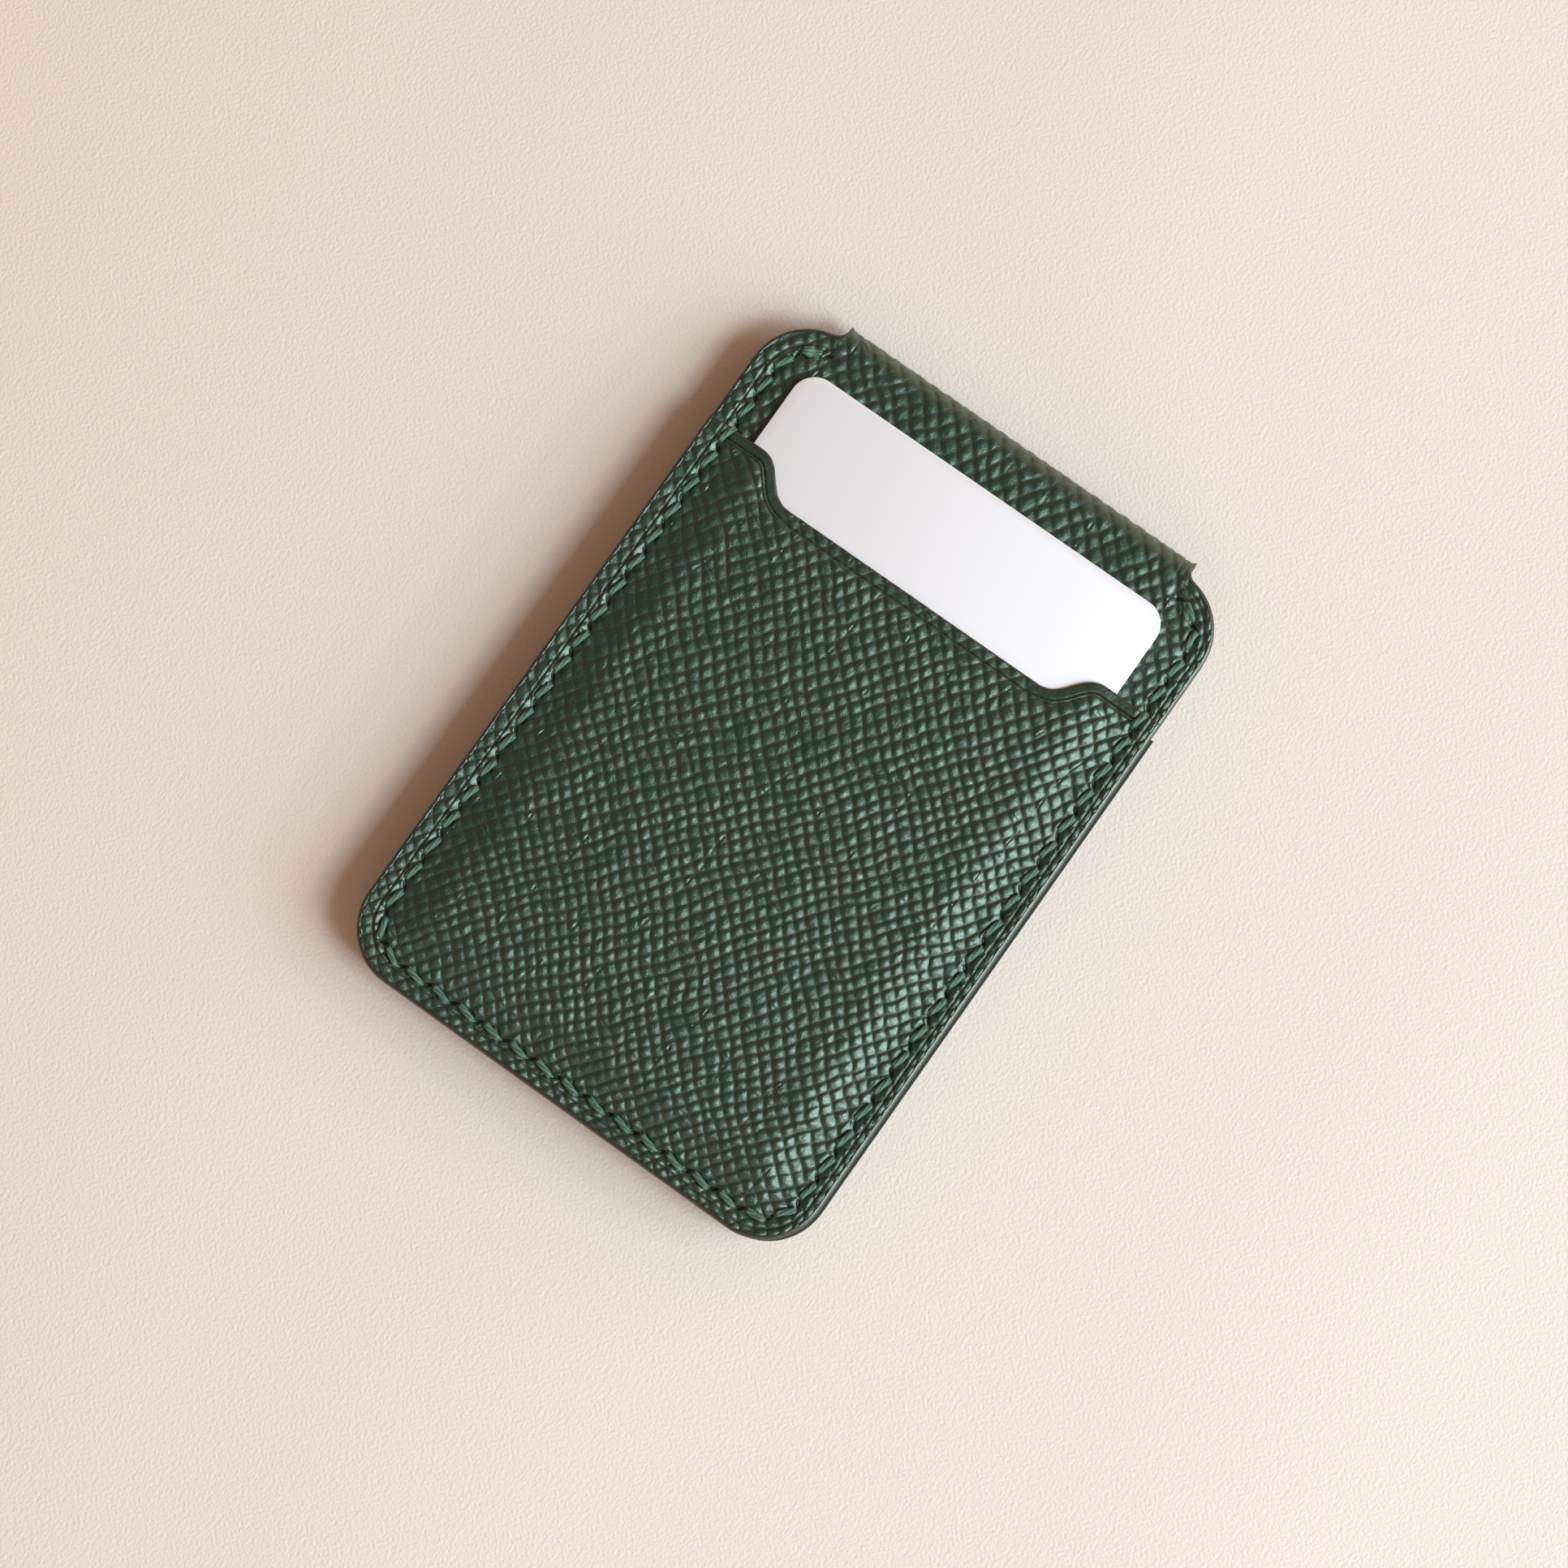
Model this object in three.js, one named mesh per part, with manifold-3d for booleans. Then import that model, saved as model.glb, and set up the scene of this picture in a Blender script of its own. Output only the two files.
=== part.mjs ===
// A hand-stitched leather card holder that clings to the back of a phone and opens out as its stand.
// One wrap leather runs from the front half, over a living fold, to the rear half with the magnets.
// Millimetres. X runs across the holder, +Y points from the free end to the fold, and +Z points out
// of the card pocket. The origin is the middle of the outer face of the rear half, closed and flat.
import * as THREE from "three";
import { mergeVertices } from "three/addons/utils/BufferGeometryUtils.js";
import Module from "manifold-3d";

// Plan
const WIDTH = 67;
const LENGTH = 99; // from the free end to the outermost line of the fold
const CORNER_R = 8;
const CORNER_DROP = 2.2; // the corners beside the fold stop this far short of its outermost line
const FOLD_WIDTH = 51.5;
const NOTCH_ROOM = 0.25; // between each end of the fold and the corner beside it

// Thicknesses, from the rear face up
const LEATHER = 1.0;
const BACK_BOARD = 1.4;
const LINING = 0.5;
const CLOSED_GAP = 0.2; // air between the two halves
const INNER_POCKET = 0.8;
const FRONT_BOARD = 0.7;

// Fold
const BEND_LINE_DEG = 45; // where the wrap leather hinges, above and below the outermost line
const BEND_GAP_DEG = 12; // free arc at each bend line
const BOARD_SHORT = 2; // the boards stop this far short of the bend, where the linings run down to it

// Card and pockets
const CARD_WIDTH = 53.98;
const CARD_LENGTH = 85.6;
const CARD_THICKNESS = 0.76;
const CARD_CORNER_R = 3.18;
const CARD_TO_FREE_END = 6.3;
const CARD_CLEARANCE = 0.05;
const CARD_SIDE_ROOM = 0.3;
const MOUTH_HEIGHT = 75.85; // middle of the pocket mouth above the free end
const SHOULDER_HEIGHT = 80.65; // where the mouth meets the side edges
const MOUTH_FLAT = 18.0; // half of the straight middle of the mouth
const MOUTH_CURVE = 8.2; // width of each S-shaped rise
const BULGE_HALF_WIDTH = 27.6; // plateau that the card pushes up
const BULGE_SLOPE = 1.4;
const BULGE_SLOPE_STEPS = 3;
const INNER_MOUTH_HEIGHT = 78;
const INNER_MOUTH_DIP = 2.5;

// Seams
const SEAM_INSET = 2.75;
const THREAD_WIDTH = 0.8;
const GROOVE_MARGIN = 0.05;
const GROOVE_DEPTH = 0.35;
const THREAD_PROUD = 0.25; // above the front leather
const SEAM_END_DEG = 62; // how far the seam follows each corner beside the fold, clear of the sliding card
const EDGE_STEP = 0.6; // length of the thread that drops over the pocket mouth

// Magnets
const RING_OUTER_R = 28;
const RING_INNER_R = 23;
const RING_CENTRE_Y = 12;
const RING_MAGNETS = 16;
const RING_MAGNET_GAP_DEG = 2.4;
const RING_MAGNET_THICKNESS = 0.9;
const SHIELD_THICKNESS = 0.3;
const BAR_WIDTH = 6;
const BAR_LENGTH = 16;
const BAR_BELOW_RING = 41.5; // from the ring's centre to the bar's centre
const CLASP_R = 4;
const CLASP_X = 22;
const CLASP_Y = -38;
const CLASP_THICKNESS = 0.6;
const SEAT_ROOM = 0.15; // play round each magnet in its seat in the board

// Derived places
const HALF_WIDTH = WIDTH / 2;
const FREE_Y = -LENGTH / 2;
const CORNER_TOP_Y = LENGTH / 2 - CORNER_DROP;
const FREE_CORNER = new THREE.Vector2(HALF_WIDTH - CORNER_R, FREE_Y + CORNER_R);
const FOLD_CORNER = new THREE.Vector2(HALF_WIDTH - CORNER_R, CORNER_TOP_Y - CORNER_R);
const NOTCH_X = FOLD_WIDTH / 2 + NOTCH_ROOM;
const BACK_COVER_TOP = LEATHER;
const BACK_LINING_BASE = BACK_COVER_TOP + BACK_BOARD;
const FRONT_BASE = BACK_LINING_BASE + LINING + CLOSED_GAP;
const FRONT_LINING_BASE = FRONT_BASE + INNER_POCKET;
const FRONT_BOARD_BASE = FRONT_LINING_BASE + LINING;
const FRONT_COVER_BASE = FRONT_BOARD_BASE + FRONT_BOARD;
const FRONT_COVER_TOP = FRONT_COVER_BASE + LEATHER;
const POCKET_TOP = FRONT_COVER_TOP + LEATHER;
const CARD_BASE = FRONT_COVER_TOP + CARD_CLEARANCE;
const CARD_ROOM_TOP = CARD_BASE + CARD_THICKNESS + CARD_CLEARANCE;
const BULGE_TOP = CARD_ROOM_TOP + LEATHER;
const FOLD_R = FRONT_COVER_TOP / 2; // outer radius of the fold
const FOLD_Y = LENGTH / 2 - FOLD_R; // where the flat halves end
const FOLD_Z = FOLD_R;
const CARD_Y = FREE_Y + CARD_TO_FREE_END;
const MOUTH_Y = FREE_Y + MOUTH_HEIGHT;
const SHOULDER_Y = FREE_Y + SHOULDER_HEIGHT;
const INNER_MOUTH_Y = FREE_Y + INNER_MOUTH_HEIGHT;

const QUARTER = Math.PI / 2;
const ARC_STEPS = 7;
const RADIANS = Math.PI / 180;

const wasm = await Module();
wasm.setup();

// Solids

function toSolid(geometry) {
  const bare = geometry.clone();
  bare.deleteAttribute("normal");
  bare.deleteAttribute("uv");
  const merged = mergeVertices(bare, 1e-4);
  return new wasm.Manifold(
    new wasm.Mesh({
      numProp: 3,
      vertProperties: merged.attributes.position.array,
      triVerts: new Uint32Array(merged.index.array),
    }),
  );
}

function toGeometry(solid) {
  const mesh = solid.getMesh();
  const geometry = new THREE.BufferGeometry();
  geometry.setAttribute("position", new THREE.BufferAttribute(mesh.vertProperties, 3));
  geometry.setIndex(new THREE.BufferAttribute(mesh.triVerts, 1));
  const flat = geometry.toNonIndexed();
  flat.computeVertexNormals();
  return flat;
}

function slab(shape, low, high) {
  const geometry = new THREE.ExtrudeGeometry(shape, {
    depth: high - low,
    bevelEnabled: false,
    curveSegments: ARC_STEPS,
  });
  return geometry.translate(0, 0, low);
}

function block(lowX, lowY, lowZ, highX, highY, highZ) {
  const geometry = new THREE.BoxGeometry(highX - lowX, highY - lowY, highZ - lowZ);
  return geometry.translate((lowX + highX) / 2, (lowY + highY) / 2, (lowZ + highZ) / 2);
}

function disc(radius, x, y, low, high) {
  const geometry = new THREE.CylinderGeometry(radius, radius, high - low, 8 * ARC_STEPS);
  return geometry.rotateX(QUARTER).translate(x, y, (low + high) / 2);
}

// Outlines

function addFreeEnd(shape) {
  shape.absarc(-FREE_CORNER.x, FREE_CORNER.y, CORNER_R, Math.PI, 3 * QUARTER, false);
  shape.absarc(FREE_CORNER.x, FREE_CORNER.y, CORNER_R, -QUARTER, 0, false);
}

// One half in plan. Each corner beside the fold ends at the notch that lets the fold bend, and the
// neck between the notches stops at neckY.
function halfShape(neckY) {
  const reach = Math.acos((NOTCH_X - FOLD_CORNER.x) / CORNER_R);
  const shape = new THREE.Shape();
  addFreeEnd(shape);
  shape.absarc(FOLD_CORNER.x, FOLD_CORNER.y, CORNER_R, 0, reach, false);
  shape.lineTo(NOTCH_X, neckY);
  shape.lineTo(-NOTCH_X, neckY);
  shape.absarc(-FOLD_CORNER.x, FOLD_CORNER.y, CORNER_R, Math.PI - reach, Math.PI, false);
  return shape;
}

function pocketShape() {
  const outer = MOUTH_FLAT + MOUTH_CURVE;
  const shape = new THREE.Shape();
  addFreeEnd(shape);
  shape.lineTo(HALF_WIDTH, SHOULDER_Y);
  shape.lineTo(outer, SHOULDER_Y);
  shape.bezierCurveTo(
    outer - MOUTH_CURVE / 2,
    SHOULDER_Y,
    MOUTH_FLAT + MOUTH_CURVE / 2,
    MOUTH_Y,
    MOUTH_FLAT,
    MOUTH_Y,
  );
  shape.lineTo(-MOUTH_FLAT, MOUTH_Y);
  shape.bezierCurveTo(
    -MOUTH_FLAT - MOUTH_CURVE / 2,
    MOUTH_Y,
    -outer + MOUTH_CURVE / 2,
    SHOULDER_Y,
    -outer,
    SHOULDER_Y,
  );
  shape.lineTo(-HALF_WIDTH, SHOULDER_Y);
  return shape;
}

function innerPocketShape() {
  const shape = new THREE.Shape();
  addFreeEnd(shape);
  shape.lineTo(HALF_WIDTH, INNER_MOUTH_Y);
  shape.quadraticCurveTo(0, INNER_MOUTH_Y - 2 * INNER_MOUTH_DIP, -HALF_WIDTH, INNER_MOUTH_Y);
  return shape;
}

// The U-shaped strip that a seam covers: down one side, along the free end and up the other side.
function seamShape(width) {
  const end = SEAM_END_DEG * RADIANS;
  const outer = SEAM_INSET - width / 2;
  const inner = SEAM_INSET + width / 2;
  const shape = new THREE.Shape();
  shape.absarc(FOLD_CORNER.x, FOLD_CORNER.y, CORNER_R - outer, end, 0, true);
  shape.absarc(FREE_CORNER.x, FREE_CORNER.y, CORNER_R - outer, 0, -QUARTER, true);
  shape.absarc(-FREE_CORNER.x, FREE_CORNER.y, CORNER_R - outer, -QUARTER, -Math.PI, true);
  shape.absarc(-FOLD_CORNER.x, FOLD_CORNER.y, CORNER_R - outer, Math.PI, Math.PI - end, true);
  shape.absarc(-FOLD_CORNER.x, FOLD_CORNER.y, CORNER_R - inner, Math.PI - end, Math.PI, false);
  shape.absarc(-FREE_CORNER.x, FREE_CORNER.y, CORNER_R - inner, Math.PI, 3 * QUARTER, false);
  shape.absarc(FREE_CORNER.x, FREE_CORNER.y, CORNER_R - inner, -QUARTER, 0, false);
  shape.absarc(FOLD_CORNER.x, FOLD_CORNER.y, CORNER_R - inner, 0, end, false);
  return shape;
}

function cardShape() {
  const half = CARD_WIDTH / 2 - CARD_CORNER_R;
  const low = CARD_Y + CARD_CORNER_R;
  const high = CARD_Y + CARD_LENGTH - CARD_CORNER_R;
  const shape = new THREE.Shape();
  shape.absarc(half, low, CARD_CORNER_R, -QUARTER, 0, false);
  shape.absarc(half, high, CARD_CORNER_R, 0, QUARTER, false);
  shape.absarc(-half, high, CARD_CORNER_R, QUARTER, Math.PI, false);
  shape.absarc(-half, low, CARD_CORNER_R, Math.PI, 3 * QUARTER, false);
  return shape;
}

// A round hole, drawn as four quarters so that it is as fine as the corners.
function addHole(shape, radius, x, y) {
  const hole = new THREE.Path();
  for (let quarter = 4; quarter > 0; quarter -= 1) {
    hole.absarc(x, y, radius, quarter * QUARTER, (quarter - 1) * QUARTER, true);
  }
  shape.holes.push(hole);
}

// A length of the fold between two angles, seen along X: 90 is the front half's end of the bend and
// -90 the rear half's. A tail runs on into the flat of the half that it belongs to.
function foldArc(innerR, outerR, fromDeg, toDeg, tail) {
  const from = fromDeg * RADIANS;
  const to = toDeg * RADIANS;
  const shape = new THREE.Shape();
  if (tail && fromDeg === -90) {
    shape.moveTo(FOLD_Y - tail, FOLD_Z - innerR);
    shape.lineTo(FOLD_Y - tail, FOLD_Z - outerR);
  }
  shape.absarc(FOLD_Y, FOLD_Z, outerR, from, to, false);
  if (tail && toDeg === 90) {
    shape.lineTo(FOLD_Y - tail, FOLD_Z + outerR);
    shape.lineTo(FOLD_Y - tail, FOLD_Z + innerR);
  }
  shape.absarc(FOLD_Y, FOLD_Z, innerR, to, from, true);
  const along = new THREE.Matrix4().makeBasis(
    new THREE.Vector3(0, 1, 0),
    new THREE.Vector3(0, 0, 1),
    new THREE.Vector3(1, 0, 0),
  );
  return slab(shape, -FOLD_WIDTH / 2, FOLD_WIDTH / 2).applyMatrix4(along);
}

// Rear half

function backCover() {
  const tail = 1;
  const bendEnd = -BEND_LINE_DEG - BEND_GAP_DEG / 2;
  const groove = toSolid(slab(seamShape(THREAD_WIDTH + 2 * GROOVE_MARGIN), -1, GROOVE_DEPTH));
  return toGeometry(
    toSolid(slab(halfShape(FOLD_Y), 0, BACK_COVER_TOP))
      .add(toSolid(foldArc(FOLD_R - LEATHER, FOLD_R, -90, bendEnd, tail)))
      .subtract(groove),
  );
}

function backBoard() {
  const shape = halfShape(FOLD_Y - BOARD_SHORT);
  addHole(shape, RING_OUTER_R + SEAT_ROOM, 0, RING_CENTRE_Y);
  addHole(shape, CLASP_R + SEAT_ROOM, CLASP_X, CLASP_Y);
  addHole(shape, CLASP_R + SEAT_ROOM, -CLASP_X, CLASP_Y);
  const barSeat = new THREE.Path();
  const halfWidth = BAR_WIDTH / 2 + SEAT_ROOM;
  const halfLength = BAR_LENGTH / 2 + SEAT_ROOM;
  const barY = RING_CENTRE_Y - BAR_BELOW_RING;
  barSeat.moveTo(-halfWidth, barY - halfLength);
  barSeat.lineTo(-halfWidth, barY + halfLength);
  barSeat.lineTo(halfWidth, barY + halfLength);
  barSeat.lineTo(halfWidth, barY - halfLength);
  shape.holes.push(barSeat);
  return slab(shape, BACK_COVER_TOP, BACK_LINING_BASE);
}

function boardDisc() {
  return disc(RING_INNER_R - SEAT_ROOM, 0, RING_CENTRE_Y, BACK_COVER_TOP, BACK_LINING_BASE);
}

function ringMagnet(index) {
  const step = (2 * Math.PI) / RING_MAGNETS;
  const margin = (RING_MAGNET_GAP_DEG / 2) * RADIANS;
  const from = index * step + margin;
  const to = (index + 1) * step - margin;
  const shape = new THREE.Shape();
  shape.absarc(0, 0, RING_OUTER_R, from, to, false);
  shape.absarc(0, 0, RING_INNER_R, to, from, true);
  return slab(shape, 0, RING_MAGNET_THICKNESS);
}

function shieldRing() {
  const shape = new THREE.Shape();
  for (let quarter = 0; quarter < 4; quarter += 1) {
    shape.absarc(0, 0, RING_OUTER_R, quarter * QUARTER, (quarter + 1) * QUARTER, false);
  }
  addHole(shape, RING_INNER_R, 0, 0);
  return slab(shape, 0, SHIELD_THICKNESS);
}

function barMagnet() {
  return new THREE.BoxGeometry(BAR_WIDTH, BAR_LENGTH, RING_MAGNET_THICKNESS);
}

function backLining() {
  return slab(halfShape(FOLD_Y), BACK_LINING_BASE, BACK_LINING_BASE + LINING);
}

function rearThread() {
  return slab(seamShape(THREAD_WIDTH), GROOVE_MARGIN, GROOVE_DEPTH - GROOVE_MARGIN);
}

// Fold

function foldStrip() {
  const reach = BEND_LINE_DEG - BEND_GAP_DEG / 2;
  return foldArc(FOLD_R - LEATHER, FOLD_R, -reach, reach, 0);
}

function foldLining() {
  const reach = BEND_LINE_DEG - BEND_GAP_DEG / 2;
  return foldArc(FOLD_R - LEATHER - LINING, FOLD_R - LEATHER, -reach, reach, 0);
}

// Front half

function innerPocket() {
  return slab(innerPocketShape(), FRONT_BASE, FRONT_LINING_BASE);
}

function frontLining() {
  return slab(halfShape(FOLD_Y), FRONT_LINING_BASE, FRONT_BOARD_BASE);
}

function frontBoard() {
  const shape = halfShape(FOLD_Y - BOARD_SHORT);
  addHole(shape, CLASP_R + SEAT_ROOM, CLASP_X, CLASP_Y);
  addHole(shape, CLASP_R + SEAT_ROOM, -CLASP_X, CLASP_Y);
  return slab(shape, FRONT_BOARD_BASE, FRONT_COVER_BASE);
}

function frontCover() {
  const tail = 1;
  const bendEnd = BEND_LINE_DEG + BEND_GAP_DEG / 2;
  const seam = seamShape(THREAD_WIDTH + 2 * GROOVE_MARGIN);
  const groove = toSolid(slab(seam, FRONT_COVER_TOP - GROOVE_DEPTH, POCKET_TOP)).intersect(
    toSolid(block(-WIDTH, SHOULDER_Y, 0, WIDTH, LENGTH, BULGE_TOP)),
  );
  return toGeometry(
    toSolid(slab(halfShape(FOLD_Y), FRONT_COVER_BASE, FRONT_COVER_TOP))
      .add(toSolid(foldArc(FOLD_R - LEATHER, FOLD_R, bendEnd, 90, tail)))
      .subtract(groove),
  );
}

// The plateau that the card pushes up, with sloping sides. Its lower half ends inside the flat leather.
function cardBulge() {
  const rise = BULGE_TOP - POCKET_TOP;
  const middle = POCKET_TOP - FRONT_COVER_TOP - rise;
  const low = CARD_Y - CARD_SIDE_ROOM;
  const shape = new THREE.Shape();
  const half = BULGE_HALF_WIDTH - CARD_CORNER_R;
  shape.absarc(half, low + CARD_CORNER_R, CARD_CORNER_R, -QUARTER, 0, false);
  shape.lineTo(BULGE_HALF_WIDTH, LENGTH / 2);
  shape.lineTo(-BULGE_HALF_WIDTH, LENGTH / 2);
  shape.absarc(-half, low + CARD_CORNER_R, CARD_CORNER_R, Math.PI, 3 * QUARTER, false);
  const geometry = new THREE.ExtrudeGeometry(shape, {
    depth: middle,
    bevelThickness: rise,
    bevelSize: BULGE_SLOPE,
    bevelSegments: BULGE_SLOPE_STEPS,
    curveSegments: ARC_STEPS,
  });
  return geometry.translate(0, 0, BULGE_TOP - rise - middle);
}

function cardPocket() {
  const outline = pocketShape();
  const half = CARD_WIDTH / 2 + CARD_SIDE_ROOM;
  const bulge = toSolid(cardBulge()).intersect(
    toSolid(slab(outline, FRONT_COVER_TOP, BULGE_TOP + 1)),
  );
  const cardRoom = block(
    -half,
    CARD_Y - CARD_SIDE_ROOM,
    0,
    half,
    LENGTH,
    CARD_ROOM_TOP,
  );
  const seam = seamShape(THREAD_WIDTH + 2 * GROOVE_MARGIN);
  return toGeometry(
    toSolid(slab(outline, FRONT_COVER_TOP, POCKET_TOP))
      .add(bulge)
      .subtract(toSolid(cardRoom))
      .subtract(toSolid(slab(seam, POCKET_TOP - GROOVE_DEPTH, BULGE_TOP + 1))),
  );
}

// The thread lies in the pocket's groove, drops over the pocket mouth at each side, and runs on in
// the cover's groove to the corners beside the fold.
function frontThread() {
  const seam = seamShape(THREAD_WIDTH);
  const sink = GROOVE_DEPTH - GROOVE_MARGIN;
  const dropFrom = SHOULDER_Y + GROOVE_MARGIN;
  const dropTo = dropFrom + EDGE_STEP;
  const high = POCKET_TOP + THREAD_PROUD;
  const low = FRONT_COVER_TOP - sink;
  const onPocket = toSolid(slab(seam, POCKET_TOP - sink, high)).intersect(
    toSolid(block(-WIDTH, -LENGTH, 0, WIDTH, dropTo, high + 1)),
  );
  const overMouth = toSolid(slab(seam, low, high)).intersect(
    toSolid(block(-WIDTH, dropFrom, 0, WIDTH, dropTo, high + 1)),
  );
  const onCover = toSolid(slab(seam, low, FRONT_COVER_TOP + THREAD_PROUD)).intersect(
    toSolid(block(-WIDTH, dropFrom, 0, WIDTH, LENGTH, high + 1)),
  );
  return onPocket.add(overMouth).add(onCover);
}

// Materials

function finish(colour, roughness, metalness) {
  return new THREE.MeshStandardMaterial({ color: colour, roughness, metalness });
}

const GREEN_LEATHER = finish(0x263e32, 0.5, 0);
const GREEN_SUEDE = finish(0x2b4438, 0.95, 0);
const GREY_BOARD = finish(0x6f675c, 0.9, 0);
const TEAL_THREAD = finish(0x3a7561, 0.6, 0);
const NICKEL = finish(0xb9b6ae, 0.25, 1);
const STEEL = finish(0x8f9296, 0.4, 1);
const WHITE_PLASTIC = finish(0xf1f0f2, 0.35, 0);

// Assembly

const group = new THREE.Group();

function place(name, shape, material, x = 0, y = 0, z = 0) {
  const mesh = new THREE.Mesh(shape, material.clone());
  mesh.name = name;
  mesh.position.set(x, y, z);
  group.add(mesh);
}

place("back_cover", backCover(), GREEN_LEATHER);
place("back_board", backBoard(), GREY_BOARD);
place("board_disc", boardDisc(), GREY_BOARD);
const magnetBase = BACK_COVER_TOP + GROOVE_MARGIN;
for (let index = 0; index < RING_MAGNETS; index += 1) {
  const name = "ring_magnet_" + String(index + 1).padStart(2, "0");
  place(name, ringMagnet(index), NICKEL, 0, RING_CENTRE_Y, magnetBase);
}
const shieldBase = magnetBase + RING_MAGNET_THICKNESS;
place("shield_ring", shieldRing(), STEEL, 0, RING_CENTRE_Y, shieldBase);
const barZ = magnetBase + RING_MAGNET_THICKNESS / 2;
place("aligning_magnet", barMagnet(), NICKEL, 0, RING_CENTRE_Y - BAR_BELOW_RING, barZ);
const keeperTop = BACK_LINING_BASE;
const claspBase = FRONT_BOARD_BASE;
for (const [side, x] of [["left", -CLASP_X], ["right", CLASP_X]]) {
  const keeper = disc(CLASP_R, x, CLASP_Y, keeperTop - CLASP_THICKNESS, keeperTop);
  const magnet = disc(CLASP_R, x, CLASP_Y, claspBase, claspBase + CLASP_THICKNESS);
  place("keeper_plate_" + side, keeper, STEEL);
  place("closing_magnet_" + side, magnet, NICKEL);
}
place("back_lining", backLining(), GREEN_SUEDE);
place("rear_thread", rearThread(), TEAL_THREAD);
place("fold_strip", foldStrip(), GREEN_LEATHER);
place("fold_lining", foldLining(), GREEN_SUEDE);
place("inner_pocket", innerPocket(), GREEN_LEATHER);
place("front_lining", frontLining(), GREEN_SUEDE);
place("front_board", frontBoard(), GREY_BOARD);
place("front_cover", frontCover(), GREEN_LEATHER);
place("card_pocket", cardPocket(), GREEN_LEATHER);
place("front_thread", toGeometry(frontThread()), TEAL_THREAD);
place("card", slab(cardShape(), CARD_BASE, CARD_BASE + CARD_THICKNESS), WHITE_PLASTIC);

export default group;
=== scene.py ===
"""The looks of a hand-stitched leather card holder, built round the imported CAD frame.

Shapes are worked out in millimetres on fine grids and turned into metres as each mesh is made. A
grid's own coordinates are x, across the holder, and s, along the leather before it is folded: s is
the same as y on the flat of a half, and runs on round the fold.
"""
import math

import bpy
import numpy as np
from mathutils import Matrix, Vector


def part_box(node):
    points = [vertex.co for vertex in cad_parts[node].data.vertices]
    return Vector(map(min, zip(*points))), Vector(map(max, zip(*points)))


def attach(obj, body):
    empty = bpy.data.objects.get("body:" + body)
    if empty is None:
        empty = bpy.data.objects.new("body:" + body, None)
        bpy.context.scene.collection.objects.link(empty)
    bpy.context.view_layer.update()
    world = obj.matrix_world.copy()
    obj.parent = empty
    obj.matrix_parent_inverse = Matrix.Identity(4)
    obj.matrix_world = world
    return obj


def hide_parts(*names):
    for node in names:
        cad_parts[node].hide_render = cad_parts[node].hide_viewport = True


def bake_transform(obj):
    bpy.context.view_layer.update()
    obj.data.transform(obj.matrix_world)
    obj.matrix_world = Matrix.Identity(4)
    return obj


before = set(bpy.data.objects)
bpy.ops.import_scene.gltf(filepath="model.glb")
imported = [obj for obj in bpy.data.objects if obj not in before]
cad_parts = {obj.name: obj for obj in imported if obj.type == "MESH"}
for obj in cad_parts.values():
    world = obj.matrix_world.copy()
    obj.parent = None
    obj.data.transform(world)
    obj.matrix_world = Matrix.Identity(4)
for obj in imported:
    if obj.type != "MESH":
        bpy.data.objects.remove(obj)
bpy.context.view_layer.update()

MM = 0.001


def corners(node):
    """The lowest and highest corner of a CAD node, in millimetres."""
    low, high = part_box(node)
    return np.array(low) / MM, np.array(high) / MM


# Places from the frame
COVER_LOW, COVER_HIGH = corners("front_cover")
BOARD_LOW = corners("back_board")[0]
LINING_LOW, LINING_HIGH = corners("back_lining")
FRONT_LINING_LOW, FRONT_LINING_HIGH = corners("front_lining")
INNER_LOW, INNER_HIGH = corners("inner_pocket")
POCKET_HIGH = corners("card_pocket")[1]
STRIP_HIGH = corners("fold_strip")[1]
CARD_LOW, CARD_HIGH = corners("card")
RING_LOW, RING_HIGH = corners("shield_ring")

HALF_WIDTH = COVER_HIGH[0]
FREE_Y = COVER_LOW[1]
LEATHER = BOARD_LOW[2]  # thickness
FRONT_TOP = COVER_HIGH[2]
POCKET_TOP = FRONT_TOP + LEATHER
BULGE_TOP = POCKET_HIGH[2]
STRIP_X = STRIP_HIGH[0]
FOLD_END_Y = STRIP_HIGH[1]
FOLD_R = FRONT_TOP / 2
FOLD_Y = FOLD_END_Y - FOLD_R
LINING = LINING_HIGH[2] - LINING_LOW[2]
RING_Y = (RING_LOW[1] + RING_HIGH[1]) / 2
RING_R = (RING_HIGH[0] - RING_LOW[0]) / 2

# Outline
CORNER_R = 8.0
CORNER_DROP = 2.2  # the corners beside the fold stop this far short of its outermost line
CORNER_X = HALF_WIDTH - CORNER_R
LOW_CORNER_Y = FREE_Y + CORNER_R
CORNER_TOP_Y = FOLD_END_Y - CORNER_DROP
HIGH_CORNER_Y = CORNER_TOP_Y - CORNER_R
NOTCH_R = 1.4
NOTCH_X = STRIP_X + NOTCH_R
NOTCH_S = HIGH_CORNER_Y + math.sqrt((CORNER_R + NOTCH_R) ** 2 - (NOTCH_X - CORNER_X) ** 2)
NOTCH_JOIN_X = CORNER_X + (NOTCH_X - CORNER_X) * CORNER_R / (CORNER_R + NOTCH_R)

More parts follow.
